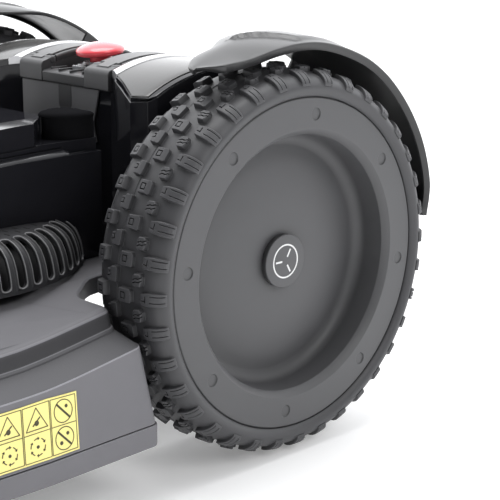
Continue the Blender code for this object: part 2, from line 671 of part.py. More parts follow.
# ---- casters ------------------------------------------------------------------------------------
def caster_fork(side):
    """Fork with its swivel pin on the body's vertical axis; the wheel trails behind it."""
    x, y = SIDES[side] * CASTER_X, CASTER_Y
    half = CASTER_WIDTH / 2 + 0.0015
    crown_low, crown_high = 2 * CASTER_RADIUS + 0.002, 2 * CASTER_RADIUS + 0.007
    axle_y = y + CASTER_TRAIL
    fork = box(f"caster_fork_{side}", (x - half - 0.004, y - 0.012, crown_low),
               (x + half + 0.004, axle_y + 0.010, crown_high), dark_plastic())
    legs = [(axle_y - 0.009, CASTER_RADIUS - 0.008), (axle_y + 0.009, CASTER_RADIUS - 0.008),
            (axle_y + 0.010, crown_high - 0.001), (y - 0.010, crown_high - 0.001)]
    for index, edge in enumerate((-half - 0.004, half)):
        leg = prism(f"fork_leg_guide_{side}_{index}", legs, x + edge + 0.0002 * (1 - 2 * index),
                    x + edge + 0.004 - 0.0002, dark_plastic(), axis="X")
        combine(fork, leg, "UNION")
    pin = rod(f"fork_pin_guide_{side}", (x, y, 0), "Z", crown_high - 0.002, FORK_PIN_TOP, FORK_PIN_RADIUS,
              dark_plastic(), 20)
    combine(fork, pin, "UNION")
    return fork


def caster_bush(side):
    """The sleeve that the fork's pin turns in, under the deck."""
    centre = (SIDES[side] * CASTER_X, CASTER_Y, 0)
    low, high = 2 * CASTER_RADIUS + 0.0085, FORK_PIN_TOP + 0.0015
    inner, outer, flange = FORK_PIN_RADIUS + 0.0001, FORK_PIN_RADIUS + 0.0055, 0.0220
    profile = [(low, inner), (low, flange), (low + 0.0035, flange), (low + 0.0035, outer), (high, outer),
               (high, inner)]
    return turned(f"caster_bush_{side}", profile, centre, "Z", steel(), 20)


def caster_axle(side):
    """The pin through the fork's legs that carries the caster wheel."""
    x = SIDES[side] * CASTER_X
    half = CASTER_WIDTH / 2 + 0.0010
    return rod(f"caster_axle_{side}", (x, CASTER_Y + CASTER_TRAIL, CASTER_RADIUS), "X", -half, half, 0.0040,
               steel(), 16)


def caster_hub(side):
    """The caster's plastic wheel."""
    centre = (SIDES[side] * CASTER_X, CASTER_Y + CASTER_TRAIL, CASTER_RADIUS)
    half = CASTER_WIDTH / 2
    rim = CASTER_RADIUS - 0.010
    profile = [(-half + 0.0005, 0.0041), (-half + 0.0005, 0.0110), (-half + 0.006, 0.0140),
               (-half + 0.006, rim - 0.006), (-half + 0.001, rim - 0.003), (-half + 0.001, rim),
               (half - 0.001, rim), (half - 0.001, rim - 0.003), (half - 0.006, rim - 0.006),
               (half - 0.006, 0.0140), (half - 0.0005, 0.0110), (half - 0.0005, 0.0041)]
    return turned(f"caster_hub_{side}", profile, centre, "X", dark_plastic(), 24)


def caster_tyre(side):
    """The caster's rounded tread."""
    centre = (SIDES[side] * CASTER_X, CASTER_Y + CASTER_TRAIL, CASTER_RADIUS)
    half = CASTER_WIDTH / 2
    inner = CASTER_RADIUS - 0.010 + GAP
    profile = [(-half, inner), (-half, CASTER_RADIUS - 0.004), (-half + 0.004, CASTER_RADIUS - 0.0005),
               (-half + 0.008, CASTER_RADIUS), (half - 0.008, CASTER_RADIUS),
               (half - 0.004, CASTER_RADIUS - 0.0005), (half, CASTER_RADIUS - 0.004), (half, inner)]
    return turned(f"caster_tyre_{side}", profile, centre, "X", tyre_rubber(), 28)


# ---- cutting unit -------------------------------------------------------------------------------
def blade_guard():
    """The round chamber round the blade disc, open at the bottom."""
    r = CHAMBER_RADIUS
    profile = [(SKIRT_BOTTOM + 0.008, r - 0.004), (SKIRT_BOTTOM + 0.008, r), (CHAMBER_TOP - 0.006, r),
               (CHAMBER_TOP, r - 0.006), (CHAMBER_TOP, 0.056), (CHAMBER_TOP - 0.004, 0.056),
               (CHAMBER_TOP - 0.004, r - 0.008), (CHAMBER_TOP - 0.008, r - 0.004)]
    return turned("blade_guard", profile, (0, CUT_Y, 0), "Z", dark_plastic(), 36)


def chassis_frame():
    """The plate that ties the deck, the blade chamber and the tower together."""
    corner = 0.014
    outline = mirrored([(FRAME_HALF_WIDTH - corner, -FRAME_END_Y - corner), (FRAME_HALF_WIDTH, -FRAME_END_Y),
                        (FRAME_HALF_WIDTH, FRAME_END_Y)])
    frame = prism("chassis_frame", outline, CHAMBER_TOP + GAP, FRAME_TOP, motor_metal())
    hole = rod("cutter_frame_hole", (0, CUT_Y, 0), "Z", 0.09, 0.13, 0.0530, motor_metal(), 40)
    combine(frame, hole, "DIFFERENCE")
    return frame


def cutter_carriage():
    """The sliding carriage that holds the blade motor, with an arm to the lead screw."""
    centre = (0, CUT_Y, 0)
    low = FRAME_TOP + 0.0015
    inner, outer, height = MOTOR_RADIUS + GAP, 0.0500, 0.028
    profile = [(low, inner), (low, outer), (low + height, outer), (low + height, inner)]
    carriage = turned("cutter_carriage", profile, centre, "Z", dark_plastic(), 40)
    arm = box("carriage_arm_guide", (-0.011, SCREW_Y - 0.010, low + 0.004),
              (0.011, CUT_Y - 0.046, low + 0.018), dark_plastic())
    combine(carriage, arm, "UNION")
    bore = rod("cutter_carriage_bore", (0, SCREW_Y, 0), "Z", 0.09, 0.2, SCREW_RADIUS + 0.0004,
               dark_plastic(), 20)
    combine(carriage, bore, "DIFFERENCE")
    return carriage


def height_screw():
    """The lead screw that lifts the carriage."""
    low = FRAME_TOP + GAP
    profile = [(low, 0.0), (low, SCREW_RADIUS), (SCREW_TOP, SCREW_RADIUS), (SCREW_TOP, 0.0)]
    return turned("height_screw", profile, (0, SCREW_Y, 0), "Z", steel(), 16)


def height_motor():
    """The small gear motor that turns the lead screw, above it under the hood."""
    low = SCREW_TOP + GAP
    return box("height_motor", (-0.014, SCREW_Y - 0.016, low), (0.014, SCREW_Y + 0.014, low + 0.0195),
               motor_metal(), 0.002)


def blade_motor():
    """The cutting motor, a finned can that slides with the carriage."""
    centre = (0, CUT_Y, 0)
    low, high, r = 0.1000, 0.1570, MOTOR_RADIUS
    bore = MOTOR_SHAFT_RADIUS + 0.0002
    profile = [(low, bore), (low, 0.0300), (low + 0.0050, r), (high - 0.0040, r), (high, r - 0.0049),
               (high, 0.0), (high - 0.0030, 0.0), (high - 0.0030, bore)]
    return turned("blade_motor", profile, centre, "Z", motor_metal(), 24)


def blade_shaft():
    """The motor's output shaft with the flange that the disc bolts to."""
    centre = (0, CUT_Y, 0)
    low, step, high = BLADE_Z + 0.0035, BLADE_Z + 0.0080, 0.1530
    r, flange = MOTOR_SHAFT_RADIUS, 0.0240
    profile = [(low, 0.0), (low, flange), (step, flange), (step, r), (high, r), (high, 0.0)]
    return turned("blade_shaft", profile, centre, "Z", steel(), 20)


def blade_disc():
    """A four-armed star blade."""
    outline = []
    for arm in range(4):
        turn = math.radians(90 * arm)
        for angle, radius in ((-38, 0.040), (-11, 0.100), (-9, BLADE_RADIUS - 0.003), (6, BLADE_RADIUS),
                              (12, 0.096), (38, 0.040)):
            a = turn + math.radians(angle)
            outline.append((radius * math.cos(a), CUT_Y + radius * math.sin(a)))
    disc = prism("blade_disc", outline, BLADE_Z, BLADE_Z + BLADE_THICKNESS, steel())
    bore = rod("cutter_blade_bore", (0, CUT_Y, 0), "Z", 0.0, 0.1, 0.0063, steel(), 20)
    combine(disc, bore, "DIFFERENCE")
    return disc


def blade_bolt():
    """The domed nut and stud that clamp the blade from below."""
    low, seat, tip = BLADE_Z - 0.0100, BLADE_Z - GAP, BLADE_Z + 0.0032
    stud, nut = 0.0060, 0.0160
    profile = [(low, 0.0), (low, nut - 0.0060), (low + 0.0040, nut), (seat, nut), (seat, stud), (tip, stud),
               (tip, 0.0)]
    return turned("blade_bolt", profile, (0, CUT_Y, 0), "Z", dark_plastic(), 24)


# ---- power and control --------------------------------------------------------------------------
def battery_pack():
    """The battery, low in the front of the hood."""
    low = FRAME_TOP + GAP
    return box("battery_pack", (-0.074, -0.246, low), (0.074, -0.142, low + 0.043), dark_plastic(), 0.004)


def control_box():
    """The sealed electronics box above the gear motors."""
    return box("control_box", (-0.085, 0.1250, 0.1800), (0.085, 0.2350, 0.2230), dark_plastic(), 0.003)


def charge_contact(side):
    """A charging plate, set in a recess of the deck's front panel."""
    x = SIDES[side] * CONTACT_X
    return box(f"charge_contact_{side}", (x - CONTACT_HALF + GAP, DECK_FRONT_Y + 0.0008, CONTACT_LOW + GAP),
               (x + CONTACT_HALF - GAP, DECK_FRONT_Y + CONTACT_DEPTH - GAP, CONTACT_HIGH - GAP), steel())


def make_joints(made):
    """Hang every moving piece from an empty on its joint's axis."""
    def pieces(*names):
        return [made[name] for name in names]

    carriage_place = (0, CUT_Y, FRAME_TOP)
    carriage = joint_empty("cutting_height_axis", carriage_place, pieces("cutter_carriage", "blade_motor"))
    joint_empty("blade_axis", (0, CUT_Y, BLADE_Z), pieces("blade_shaft", "blade_disc", "blade_bolt"),
                carriage, carriage_place)
    joint_empty("lift_screw_axis", (0, SCREW_Y, FRAME_TOP), pieces("height_screw"))
    joint_empty("stop_axis", (0, BUTTON_Y, BUTTON_TOP), pieces("stop_button"))
    for side, sign in SIDES.items():
        wheel = [f"{part}_{side}" for part in ("rear_tyre", "wheel_disc", "hub_cap", "drive_shaft")]
        joint_empty(f"wheel_axis_{side}", (sign * WHEEL_OUTER_X, AXLE_Y, AXLE_Z), pieces(*wheel))
        swivel_place = (sign * CASTER_X, CASTER_Y, FORK_PIN_TOP)
        swivel = joint_empty(f"caster_swivel_axis_{side}", swivel_place,
                             pieces(f"caster_fork_{side}", f"caster_axle_{side}"))
        joint_empty(f"caster_wheel_axis_{side}", (sign * CASTER_X, CASTER_Y + CASTER_TRAIL, CASTER_RADIUS),
                    pieces(f"caster_hub_{side}", f"caster_tyre_{side}"), swivel, swivel_place)


def build():
    """Make the whole mower in an empty scene."""
    for obj in list(bpy.data.objects):
        bpy.data.objects.remove(obj)
    made = {}
    for make in (deck_cover, bumper_strip, front_hood, tower_shell, top_module, stop_button, stop_collar,
                 stop_switch, blade_guard, chassis_frame, cutter_carriage, height_screw, height_motor,
                 blade_motor, blade_shaft, blade_disc, blade_bolt, battery_pack, control_box):
        made[make.__name__] = make()
    for side in SIDES:
        for make in (caster_cap, vent_cover, shoulder_cover, rail_plate, fender, rear_tyre, wheel_disc,
                     hub_cap, drive_shaft, shaft_bearing, gear_motor, caster_fork, caster_bush, caster_axle,
                     caster_hub, caster_tyre, charge_contact):
            made[f"{make.__name__}_{side}"] = make(side)
    make_joints(made)


build()
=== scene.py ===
"""Robotic lawn mower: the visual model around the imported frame.

Metres, +Z up. The front faces -Y and the mower's left side is +X. Every piece is made here in the
frame's own coordinates and rides on one of its bodies.
"""

import json
import math

import bmesh
import bpy
from mathutils import Matrix, Vector


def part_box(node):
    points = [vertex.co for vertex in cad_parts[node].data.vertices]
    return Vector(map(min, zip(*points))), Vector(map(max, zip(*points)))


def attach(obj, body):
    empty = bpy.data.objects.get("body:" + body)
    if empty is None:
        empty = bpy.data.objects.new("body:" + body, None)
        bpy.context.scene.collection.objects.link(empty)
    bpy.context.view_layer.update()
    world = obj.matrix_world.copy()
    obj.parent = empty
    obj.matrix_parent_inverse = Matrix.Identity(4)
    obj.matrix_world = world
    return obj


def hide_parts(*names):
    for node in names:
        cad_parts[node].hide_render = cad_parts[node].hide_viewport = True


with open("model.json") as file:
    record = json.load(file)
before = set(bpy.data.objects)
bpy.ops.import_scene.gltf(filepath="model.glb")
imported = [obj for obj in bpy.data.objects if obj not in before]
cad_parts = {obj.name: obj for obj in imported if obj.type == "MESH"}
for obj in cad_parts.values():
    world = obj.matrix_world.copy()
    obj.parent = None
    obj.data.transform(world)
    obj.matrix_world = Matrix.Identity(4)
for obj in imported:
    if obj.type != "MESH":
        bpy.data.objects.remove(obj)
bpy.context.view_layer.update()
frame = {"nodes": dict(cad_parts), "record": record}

SIDES = {"left": 1, "right": -1}
GAP = 0.0003

# ---- places read from the frame -----------------------------------------------------------------
TYRE_LOW, TYRE_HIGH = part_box("rear_tyre_left")
WHEEL_RADIUS = (TYRE_HIGH.z - TYRE_LOW.z) / 2
WHEEL_OUTER_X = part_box("wheel_disc_left")[1].x
AXLE = (TYRE_LOW + TYRE_HIGH) / 2
RIM_RADIUS = (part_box("wheel_disc_left")[1].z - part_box("wheel_disc_left")[0].z) / 2
BUTTON_LOW, BUTTON_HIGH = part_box("stop_button")
BUTTON_CENTRE = (BUTTON_LOW + BUTTON_HIGH) / 2


# ---- materials ----------------------------------------------------------------------------------
CREVICE_REACH = 0.024
DECK_COLOUR = (0.156, 0.154, 0.166)


def node(tree, kind, **values):
    """Add a shader node and set its plain inputs and properties."""
    made = tree.nodes.new(kind)
    for key, value in values.items():
        if key in made.inputs:
            made.inputs[key].default_value = value
        else:
            setattr(made, key, value)
    return made


def surface(name, colour, roughness, metallic=0.0, variation=0.10, grain=900.0, depth=0.00005, edge=0.0006,
            edge_glint=0.25, ior=1.5, coat=0.0, transmission=0.0, stretch=(1.0, 1.0, 1.0), crevice_shade=0.55,
            reach=CREVICE_REACH):
    """A moulded or metal surface: cloudy colour, fine grain, uneven sheen, softly rounded edges lightened
    in colour as a painted highlight and hollows darkened by ambient occlusion as painted shade.
    """
    made = bpy.data.materials.get(f"look_{name}")
    if made:
        return made
    made = bpy.data.materials.new(f"look_{name}")
    made.use_nodes = True
    tree = made.node_tree
    shader = tree.nodes["Principled BSDF"]
    shader.inputs["Metallic"].default_value = metallic
    shader.inputs["IOR"].default_value = ior
    shader.inputs["Coat Weight"].default_value = coat
    shader.inputs["Transmission Weight"].default_value = transmission
    links = tree.links
    place = node(tree, "ShaderNodeTexCoord")
    mapping = node(tree, "ShaderNodeMapping", Scale=stretch)
    links.new(place.outputs["Object"], mapping.inputs["Vector"])
    clouds = node(tree, "ShaderNodeTexNoise", Scale=38.0, Detail=5.0, Roughness=0.6)
    fine = node(tree, "ShaderNodeTexNoise", Scale=grain, Detail=2.0, Roughness=0.55)
    for texture in (clouds, fine):
        links.new(mapping.outputs["Vector"], texture.inputs["Vector"])
    light = [min(1.0, c * (1 + variation)) for c in colour]
    dark = [c * (1 - variation) for c in colour]
    # Paler colour for the edges: a painted highlight.
    glint_colour = [min(1.0, c * 1.9 + 0.03) for c in colour]
    tint = node(tree, "ShaderNodeMix", data_type="RGBA")
    tint.inputs["A"].default_value = (*dark, 1)
    tint.inputs["B"].default_value = (*light, 1)
    links.new(clouds.outputs["Fac"], tint.inputs["Factor"])
    rounded = node(tree, "ShaderNodeBevel", Radius=edge, samples=4)
    flat = node(tree, "ShaderNodeNewGeometry")
    turn = node(tree, "ShaderNodeVectorMath", operation="DOT_PRODUCT")
    links.new(rounded.outputs["Normal"], turn.inputs[0])
    links.new(flat.outputs["Normal"], turn.inputs[1])
    glint_mask = node(tree, "ShaderNodeMapRange")
    glint_mask.inputs["From Min"].default_value = 0.995
    glint_mask.inputs["From Max"].default_value = 0.80
    glint_mask.inputs["To Max"].default_value = edge_glint
    links.new(turn.outputs["Value"], glint_mask.inputs["Value"])
    # Lightens the colour along rounded edges as a painted highlight.
    edges = node(tree, "ShaderNodeMix", data_type="RGBA")
    edges.inputs["B"].default_value = (*glint_colour, 1)
    links.new(glint_mask.outputs["Result"], edges.inputs["Factor"])
    links.new(tint.outputs["Result"], edges.inputs["A"])
    # Ambient occlusion darkens the colour in hollows, creases and between parts: painted shade.
    corners = node(tree, "ShaderNodeAmbientOcclusion", samples=4, Distance=reach)
    crevice_darkening = node(tree, "ShaderNodeMapRange")
    crevice_darkening.inputs["To Min"].default_value = 1.0 - crevice_shade
    shade = node(tree, "ShaderNodeVectorMath", operation="SCALE")
    links.new(corners.outputs["AO"], crevice_darkening.inputs["Value"])
    links.new(edges.outputs["Result"], shade.inputs[0])
    links.new(crevice_darkening.outputs["Result"], shade.inputs["Scale"])
    links.new(shade.outputs["Vector"], shader.inputs["Base Color"])
    sheen = node(tree, "ShaderNodeMapRange")
    sheen.inputs["To Min"].default_value = max(0.02, roughness * 0.85)
    sheen.inputs["To Max"].default_value = min(1.0, roughness * 1.15)
    links.new(clouds.outputs["Fac"], sheen.inputs["Value"])
    links.new(sheen.outputs["Result"], shader.inputs["Roughness"])
    bump = node(tree, "ShaderNodeBump", Strength=0.6, Distance=depth)
    links.new(fine.outputs["Fac"], bump.inputs["Height"])
    links.new(rounded.outputs["Normal"], bump.inputs["Normal"])
    links.new(bump.outputs["Normal"], shader.inputs["Normal"])
    return made


# The deck's edges get a strong painted highlight and its hollows strong painted shade.
def deck_grey():
    return surface("deck_grey", DECK_COLOUR, 0.60, grain=1400, depth=0.00006, edge=0.0009, edge_glint=1.0,
                   ior=1.36, crevice_shade=0.85)


def deck_shade_copy(name, factor):
    """The deck's grey made paler or darker by a factor, as painted highlight or painted shade."""
    colour = tuple(channel * factor for channel in DECK_COLOUR)
    return surface(name, colour, 0.60, grain=1400, depth=0.00006, edge=0.0009, edge_glint=0.6, ior=1.36,
                   crevice_shade=0.85)


def fender_grey():
    return surface("fender_grey", (0.020, 0.020, 0.021), 0.29, grain=1600, depth=0.00003)


def wheel_grey():
    return surface("wheel_grey", (0.080, 0.080, 0.084), 0.50, grain=1800, depth=0.00003)


# The tyre's block edges get a painted highlight and the gaps between blocks strong painted shade.
def tyre_rubber():
    return surface("tyre_rubber", (0.052, 0.052, 0.056), 0.50, grain=1100, depth=0.00005, edge_glint=0.8,
                   crevice_shade=0.95, reach=0.008)


def module_grey():
    return surface("module_grey", (0.050, 0.050, 0.053), 0.42, grain=1500, depth=0.00005)


def plate_grey():
    return surface("plate_grey", (0.105, 0.105, 0.108), 0.40, grain=1500, depth=0.00004)


# Grey for the sheet on the tower's front: a painted reflection in the gloss black.
def apron_reflection_grey():
    return surface("apron_reflection_grey", (0.150, 0.150, 0.156), 0.40, grain=1500, depth=0.00003)


def gloss_black():
    return surface("gloss_black", (0.0135, 0.0135, 0.0165), 0.07, variation=0.2, grain=160, depth=0.000004,
                   edge_glint=0.0, ior=1.38)


# Pale grey for the slot rims: a painted highlight on their rounded edges.
def vent_rim_highlight():
    return surface("vent_rim_highlight", (0.190, 0.190, 0.195), 0.45, grain=1400, depth=0.00003, crevice_shade=0.2)


def shoulder_gloss():
    return surface("shoulder_gloss", (0.034, 0.033, 0.032), 0.13, grain=160, depth=0.000004, edge_glint=0.0,
                   ior=1.55)


# The vent cover's slot edges get a strong painted highlight and its hollows painted shade.
def vent_grey():
    return surface("vent_grey", (0.036, 0.036, 0.039), 0.50, grain=1400, depth=0.00005, edge=0.0010,
                   edge_glint=1.0,
                   ior=1.38, crevice_shade=0.8)


# A pale metal colour for the shoulder's inner band: a painted reflection of the bright backdrop in a gloss
# black bevel.
def painted_reflection_trim():
    return surface("painted_reflection_trim", (0.55, 0.55, 0.56), 0.16, metallic=0.6, grain=300, depth=0.000006,
                   edge_glint=0.0)


def lid_black():
    return surface("lid_black", (0.010, 0.010, 0.011), 0.40, grain=600, depth=0.00002, edge_glint=0.0, ior=1.0)


# Near-black sheets and blocks in gaps and openings: painted shadow.
def painted_shade_black():
    return surface("painted_shade_black", (0.010, 0.010, 0.011), 0.6)


def stop_red():
    return surface("stop_red", (0.93, 0.075, 0.100), 0.20, variation=0.05, grain=500, depth=0.00002,
                   coat=0.5,
                   crevice_shade=0.0)


def clear_ring():
    return surface("clear_ring", (0.75, 0.76, 0.78), 0.12, variation=0.05, edge_glint=0.0, transmission=0.5)


def mark_white():
    return surface("mark_white", (0.80, 0.80, 0.80), 0.45, variation=0.03)


def label_yellow():
    return surface("label_yellow", (0.93, 0.82, 0.28), 0.38, variation=0.03, depth=0.00001, edge_glint=0.0)


def label_ink():
    return surface("label_ink", (0.045, 0.040, 0.012), 0.45, variation=0.2, edge_glint=0.0)


def steel():
    return surface("steel", (0.48, 0.48, 0.49), 0.30, metallic=1.0, grain=260, depth=0.00002,
                   stretch=(1.0, 1.0, 9.0))


def cast_metal():
    return surface("cast_metal", (0.30, 0.30, 0.31), 0.42, metallic=1.0, grain=700, depth=0.00008)


# ---- mesh tools ---------------------------------------------------------------------------------
def piece(name, mesh, material, body, replaced=(), sharp=32.0):
    """Link a mesh as a finished piece that rides on a body."""
    bm = bmesh.new()
    bm.from_mesh(mesh)
    bmesh.ops.recalc_face_normals(bm, faces=bm.faces)
    bm.to_mesh(mesh)
    bm.free()
    made = bpy.data.objects.new(name, mesh)
    bpy.context.scene.collection.objects.link(made)
    mesh.materials.append(material)
    mesh.shade_smooth()
    mesh.set_sharp_from_angle(angle=math.radians(sharp))
    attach(made, body)
    if replaced:
        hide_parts(*replaced)
    return made


def soften(made, width, segments=2, angle=35.0):
    """Round a piece's edges and shade it evenly."""
    bevel = made.modifiers.new("rounded", "BEVEL")
    bevel.width = width
    bevel.segments = segments
    bevel.limit_method = "ANGLE"
    bevel.angle_limit = math.radians(angle)
    bevel.harden_normals = True
    return made


def mesh_of(points, faces, name="shape"):
    """A mesh from plain points and faces."""
    mesh = bpy.data.meshes.new(name)
    mesh.from_pydata([tuple(p) for p in points], [], faces)
    mesh.update()
    return mesh


def lathe(profile, centre, axis, segments=96, sign=1):
    """Turn a closed profile of (along, radius) pairs about an axis; points on the axis are shared."""
    points, rings = [], []
    for along, radius in profile:
        turns = 1 if radius < 1e-7 else segments
        rings.append(range(len(points), len(points) + turns))
        for i in range(turns):
            a = math.tau * i / segments
            c, s = radius * math.cos(a), radius * math.sin(a)
            offset = (sign * along, c, s) if axis == "X" else (c, s, along)
            points.append(Vector(centre) + Vector(offset))
    faces = []
    for one, two in zip(rings, rings[1:] + rings[:1]):
        for i in range(segments):
            j = (i + 1) % segments
            quad = [one[i % len(one)], one[j % len(one)], two[j % len(two)], two[i % len(two)]]
            ring = list(dict.fromkeys(quad))
            if len(ring) > 2:
                faces.append(ring)
    return mesh_of(points, faces)


def grid_solid(rings, closed=True):
    """Skin rings of points in order; closed rings get flat end caps."""
    count = len(rings[0])
    points = [p for ring in rings for p in ring]
    faces = []
    for r in range(len(rings) - 1):
        for i in range(count if closed else count - 1):
            j = (i + 1) % count
            faces.append([r * count + i, r * count + j, (r + 1) * count + j, (r + 1) * count + i])
    if closed:
        faces.append(list(range(count)))
        faces.append([(len(rings) - 1) * count + i for i in reversed(range(count))])
    return mesh_of(points, faces)


def extrude(outline, low, high, axis="Z"):
    """A straight bar of a flat outline along an axis; pairs are the other two axes in order."""
    place = {"X": lambda a, b, h: (h, a, b), "Y": lambda a, b, h: (a, h, b), "Z": lambda a, b,
             h: (a, b, h)}[axis]
    return grid_solid([[place(a, b, height) for a, b in outline] for height in (low, high)])


def block(low, high):
    """A box between two corners."""
    outline = [(low[0], low[1]), (high[0], low[1]), (high[0], high[1]), (low[0], high[1])]
    return extrude(outline, low[2], high[2])


def joined(meshes):
    """One mesh from several."""
    points, faces = [], []
    for mesh in meshes:
        start = len(points)
        points += [v.co.copy() for v in mesh.vertices]
        faces += [[start + i for i in polygon.vertices] for polygon in mesh.polygons]
    return mesh_of(points, faces)


def cut(mesh, cutter, operation="DIFFERENCE"):
    """The mesh after a Boolean with another mesh."""
    for shape in (mesh, cutter):
        bm = bmesh.new()
        bm.from_mesh(shape)
        bmesh.ops.recalc_face_normals(bm, faces=bm.faces)
        bm.to_mesh(shape)
        bm.free()
    base = bpy.data.objects.new("base", mesh)
    tool = bpy.data.objects.new("tool", cutter)
    for made in (base, tool):
        bpy.context.scene.collection.objects.link(made)
    boolean = base.modifiers.new("cut", "BOOLEAN")
    boolean.operation = operation
    boolean.object = tool
    bpy.context.view_layer.update()
    result = bpy.data.meshes.new_from_object(base.evaluated_get(bpy.context.evaluated_depsgraph_get()))
    for made in (base, tool):
        bpy.data.objects.remove(made)
    return result


def arc(centre, radius, start, stop, steps):
    """Points on an arc of a flat outline; angles in degrees."""
    angles = [math.radians(start + (stop - start) * i / steps) for i in range(steps + 1)]
    return [(centre[0] + radius * math.cos(a), centre[1] + radius * math.sin(a)) for a in angles]


def smooth(value, low, high):
    """0 below low, 1 above high and an even curve between them."""
    t = min(max((value - low) / (high - low), 0.0), 1.0)
    return t * t * (3 - 2 * t)


# ---- rear wheels --------------------------------------------------------------------------------
TREAD_PITCHES = 36
CARCASS_RADIUS = WHEEL_RADIUS - 0.0043
KNOB_HEIGHT = 0.0041
GROOVE_DEPTH = 0.0016
GROOVE_WIDTH = 0.0008


def on_tyre(x, angle, radius):
    """A point at a wheel angle in degrees, from straight up towards the rear, on the left wheel."""
    a = math.radians(angle)
    return Vector((x, AXLE.y + radius * math.sin(a), AXLE.z + radius * math.cos(a)))


def knob_block(outline, taper=0.0006, chamfer=0.0004):
    """A tread block in flat (across, along, up) coordinates, sunk a little into the carcass."""
    middle = Vector((sum(p[0] for p in outline), sum(p[1] for p in outline))) / len(outline)

    def ring(grow, level):
        points = []
        for p in outline:
            out = Vector(p) - middle
            grown = middle + out * (1 + grow / out.length)
            points.append((grown.x, grown.y, level))
        return points

    top = KNOB_HEIGHT
    return grid_solid([ring(taper * 1.3, -0.0014), ring(taper, 0.0003), ring(0.0, top - chamfer),
                       ring(-chamfer, top)])


def groove(path, top=KNOB_HEIGHT, depth=GROOVE_DEPTH, width=GROOVE_WIDTH):
    """A cutter that follows a path of (across, along) points through the top of a block."""
    shapes = []
    for start, end in zip(path, path[1:]):
        start, end = Vector(start), Vector(end)
        run = (end - start).normalized() * width / 2
        side = Vector((-run.y, run.x))
        start, end = start - run, end + run
        outline = [start - side, end - side, end + side, start + side]
        shapes.append(extrude([tuple(p) for p in outline], top - depth, top + 0.001))
    result = shapes[0]
    for shape in shapes[1:]:
        result = cut(result, shape, "UNION")
    return result


def square_path(x, y, size):
    """A closed square path about a point."""
    a = size / 2
    return [(x - a, y - a), (x + a, y - a), (x + a, y + a), (x - a, y + a), (x - a, y - a)]


def sloped_end(mesh, start, end, drop):
    """Plane a block's top down towards one end."""
    high = KNOB_HEIGHT + 0.002
    outline = [(start, KNOB_HEIGHT), (end, KNOB_HEIGHT - drop), (end, high), (start, high)]
    return cut(mesh, extrude(outline, -0.01, 0.01, "Y"))


def side_block(sign):
    """The square block beside the middle row, with a square line sunk in its top."""
    outline = [(-0.0053, -0.0040), (-0.0047, -0.0046), (0.0048, -0.0047), (0.0054, -0.0038),
               (0.0054, 0.0030),
               (0.0042, 0.0047), (-0.0047, 0.0046), (-0.0053, 0.0040)]
    made = knob_block([(sign * x, y) for x, y in outline])
    made = sloped_end(made, sign * 0.0020, sign * 0.0070, 0.0016)
    return cut(made, groove(square_path(-0.0011 * sign, 0.0, 0.0040)))


def middle_block():
    """The middle row's leaning block with a stepped corner and an open square line."""
    outline = [(-0.0042, -0.0036), (-0.0032, -0.0048), (0.0036, -0.0050), (0.0043, -0.0040),
               (0.0043, 0.0044),
               (0.0034, 0.0051), (-0.0004, 0.0050), (-0.0014, 0.0034), (-0.0042, 0.0030)]
    made = sloped_end(knob_block(outline), 0.0014, 0.0060, 0.0012)
    return cut(made, groove([(-0.0040, 0.0013), (-0.0015, 0.0015), (-0.0011, -0.0011), (-0.0036, -0.0015)]))


def edge_block():
    """The small six-sided block next to the shoulder, with two wavy lines."""
    outline = [(-0.0037, -0.0026), (-0.0022, -0.0044), (0.0028, -0.0041), (0.0037, -0.0022),
               (0.0037, 0.0022),
               (0.0022, 0.0043), (-0.0024, 0.0040), (-0.0037, 0.0022)]
    made = knob_block(outline)
    for y in (-0.0013, 0.0011):
        wave = [(-0.0028, y - 0.0008), (-0.0008, y + 0.0002), (0.0014, y - 0.0001), (0.0036, y + 0.0011)]
        made = cut(made, groove(wave))
    return made


# rows of blocks: (x, phase in degrees, carcass radius there, outward tilt in degrees, mesh)
def tread_rows():
    return [(0.1757, 0.0, CARCASS_RADIUS - 0.0007, -11.0, side_block(-1)),
            (0.1881, 5.0, CARCASS_RADIUS, 0.0, middle_block()),
            (0.2013, 0.0, CARCASS_RADIUS - 0.0001, 1.5, side_block(1)),
            (0.2130, 5.0, CARCASS_RADIUS - 0.0007, 8.0, edge_block())]


def carcass_profile():
    """Section of the tyre, from the outer bead over the crown to the inner bead."""
    crown, bulge, bead = CARCASS_RADIUS, TYRE_HIGH.x - 0.0008, RIM_RADIUS + GAP
    outer = [(WHEEL_OUTER_X - 0.0005, bead), (WHEEL_OUTER_X + 0.0003, bead + 0.0004),
             (bulge - 0.0018, bead + 0.0016), (bulge - 0.0007, bead + 0.0032), (bulge, bead + 0.0054),
             (bulge, bead + 0.0073), (bulge - 0.0007, crown - 0.0083), (bulge - 0.0022, crown - 0.0063),
             (bulge - 0.0047, crown - 0.0042), (bulge - 0.0077, crown - 0.0027),
             (bulge - 0.0122, crown - 0.0015),
             (bulge - 0.0172, crown - 0.0008), (bulge - 0.0232, crown - 0.0003)]
    middle = [(0.2000, crown - 0.0001), (0.1906, crown), (0.1900, crown + 0.0004), (0.1894, crown)]
    inner = [(0.1815, crown - 0.0002), (0.1760, crown - 0.0007), (0.1720, crown - 0.0019),
             (0.1685, crown - 0.0040), (0.1650, crown - 0.0072), (0.1620, crown - 0.0107),
             (0.1592, crown - 0.0148), (0.1582, bead)]
    return outer + middle + inner


SIDE_LUG = (
    # x, radius of the lug's top, half its width, depth of its flanks
    (0.2166, 0.1418, 0.0034, 0.0040), (0.2172, 0.1425, 0.0038, 0.0046), (0.2200, 0.1422, 0.0043, 0.0048),
    (0.2238, 0.1411, 0.0046, 0.0050), (0.2272, 0.1393, 0.0047, 0.0050), (0.2298, 0.1370, 0.0047, 0.0046),
    (0.2313, 0.1348, 0.0046, 0.0038), (0.2317, 0.1333, 0.0045, 0.0030), (0.2314, 0.1316, 0.0044, 0.0022))


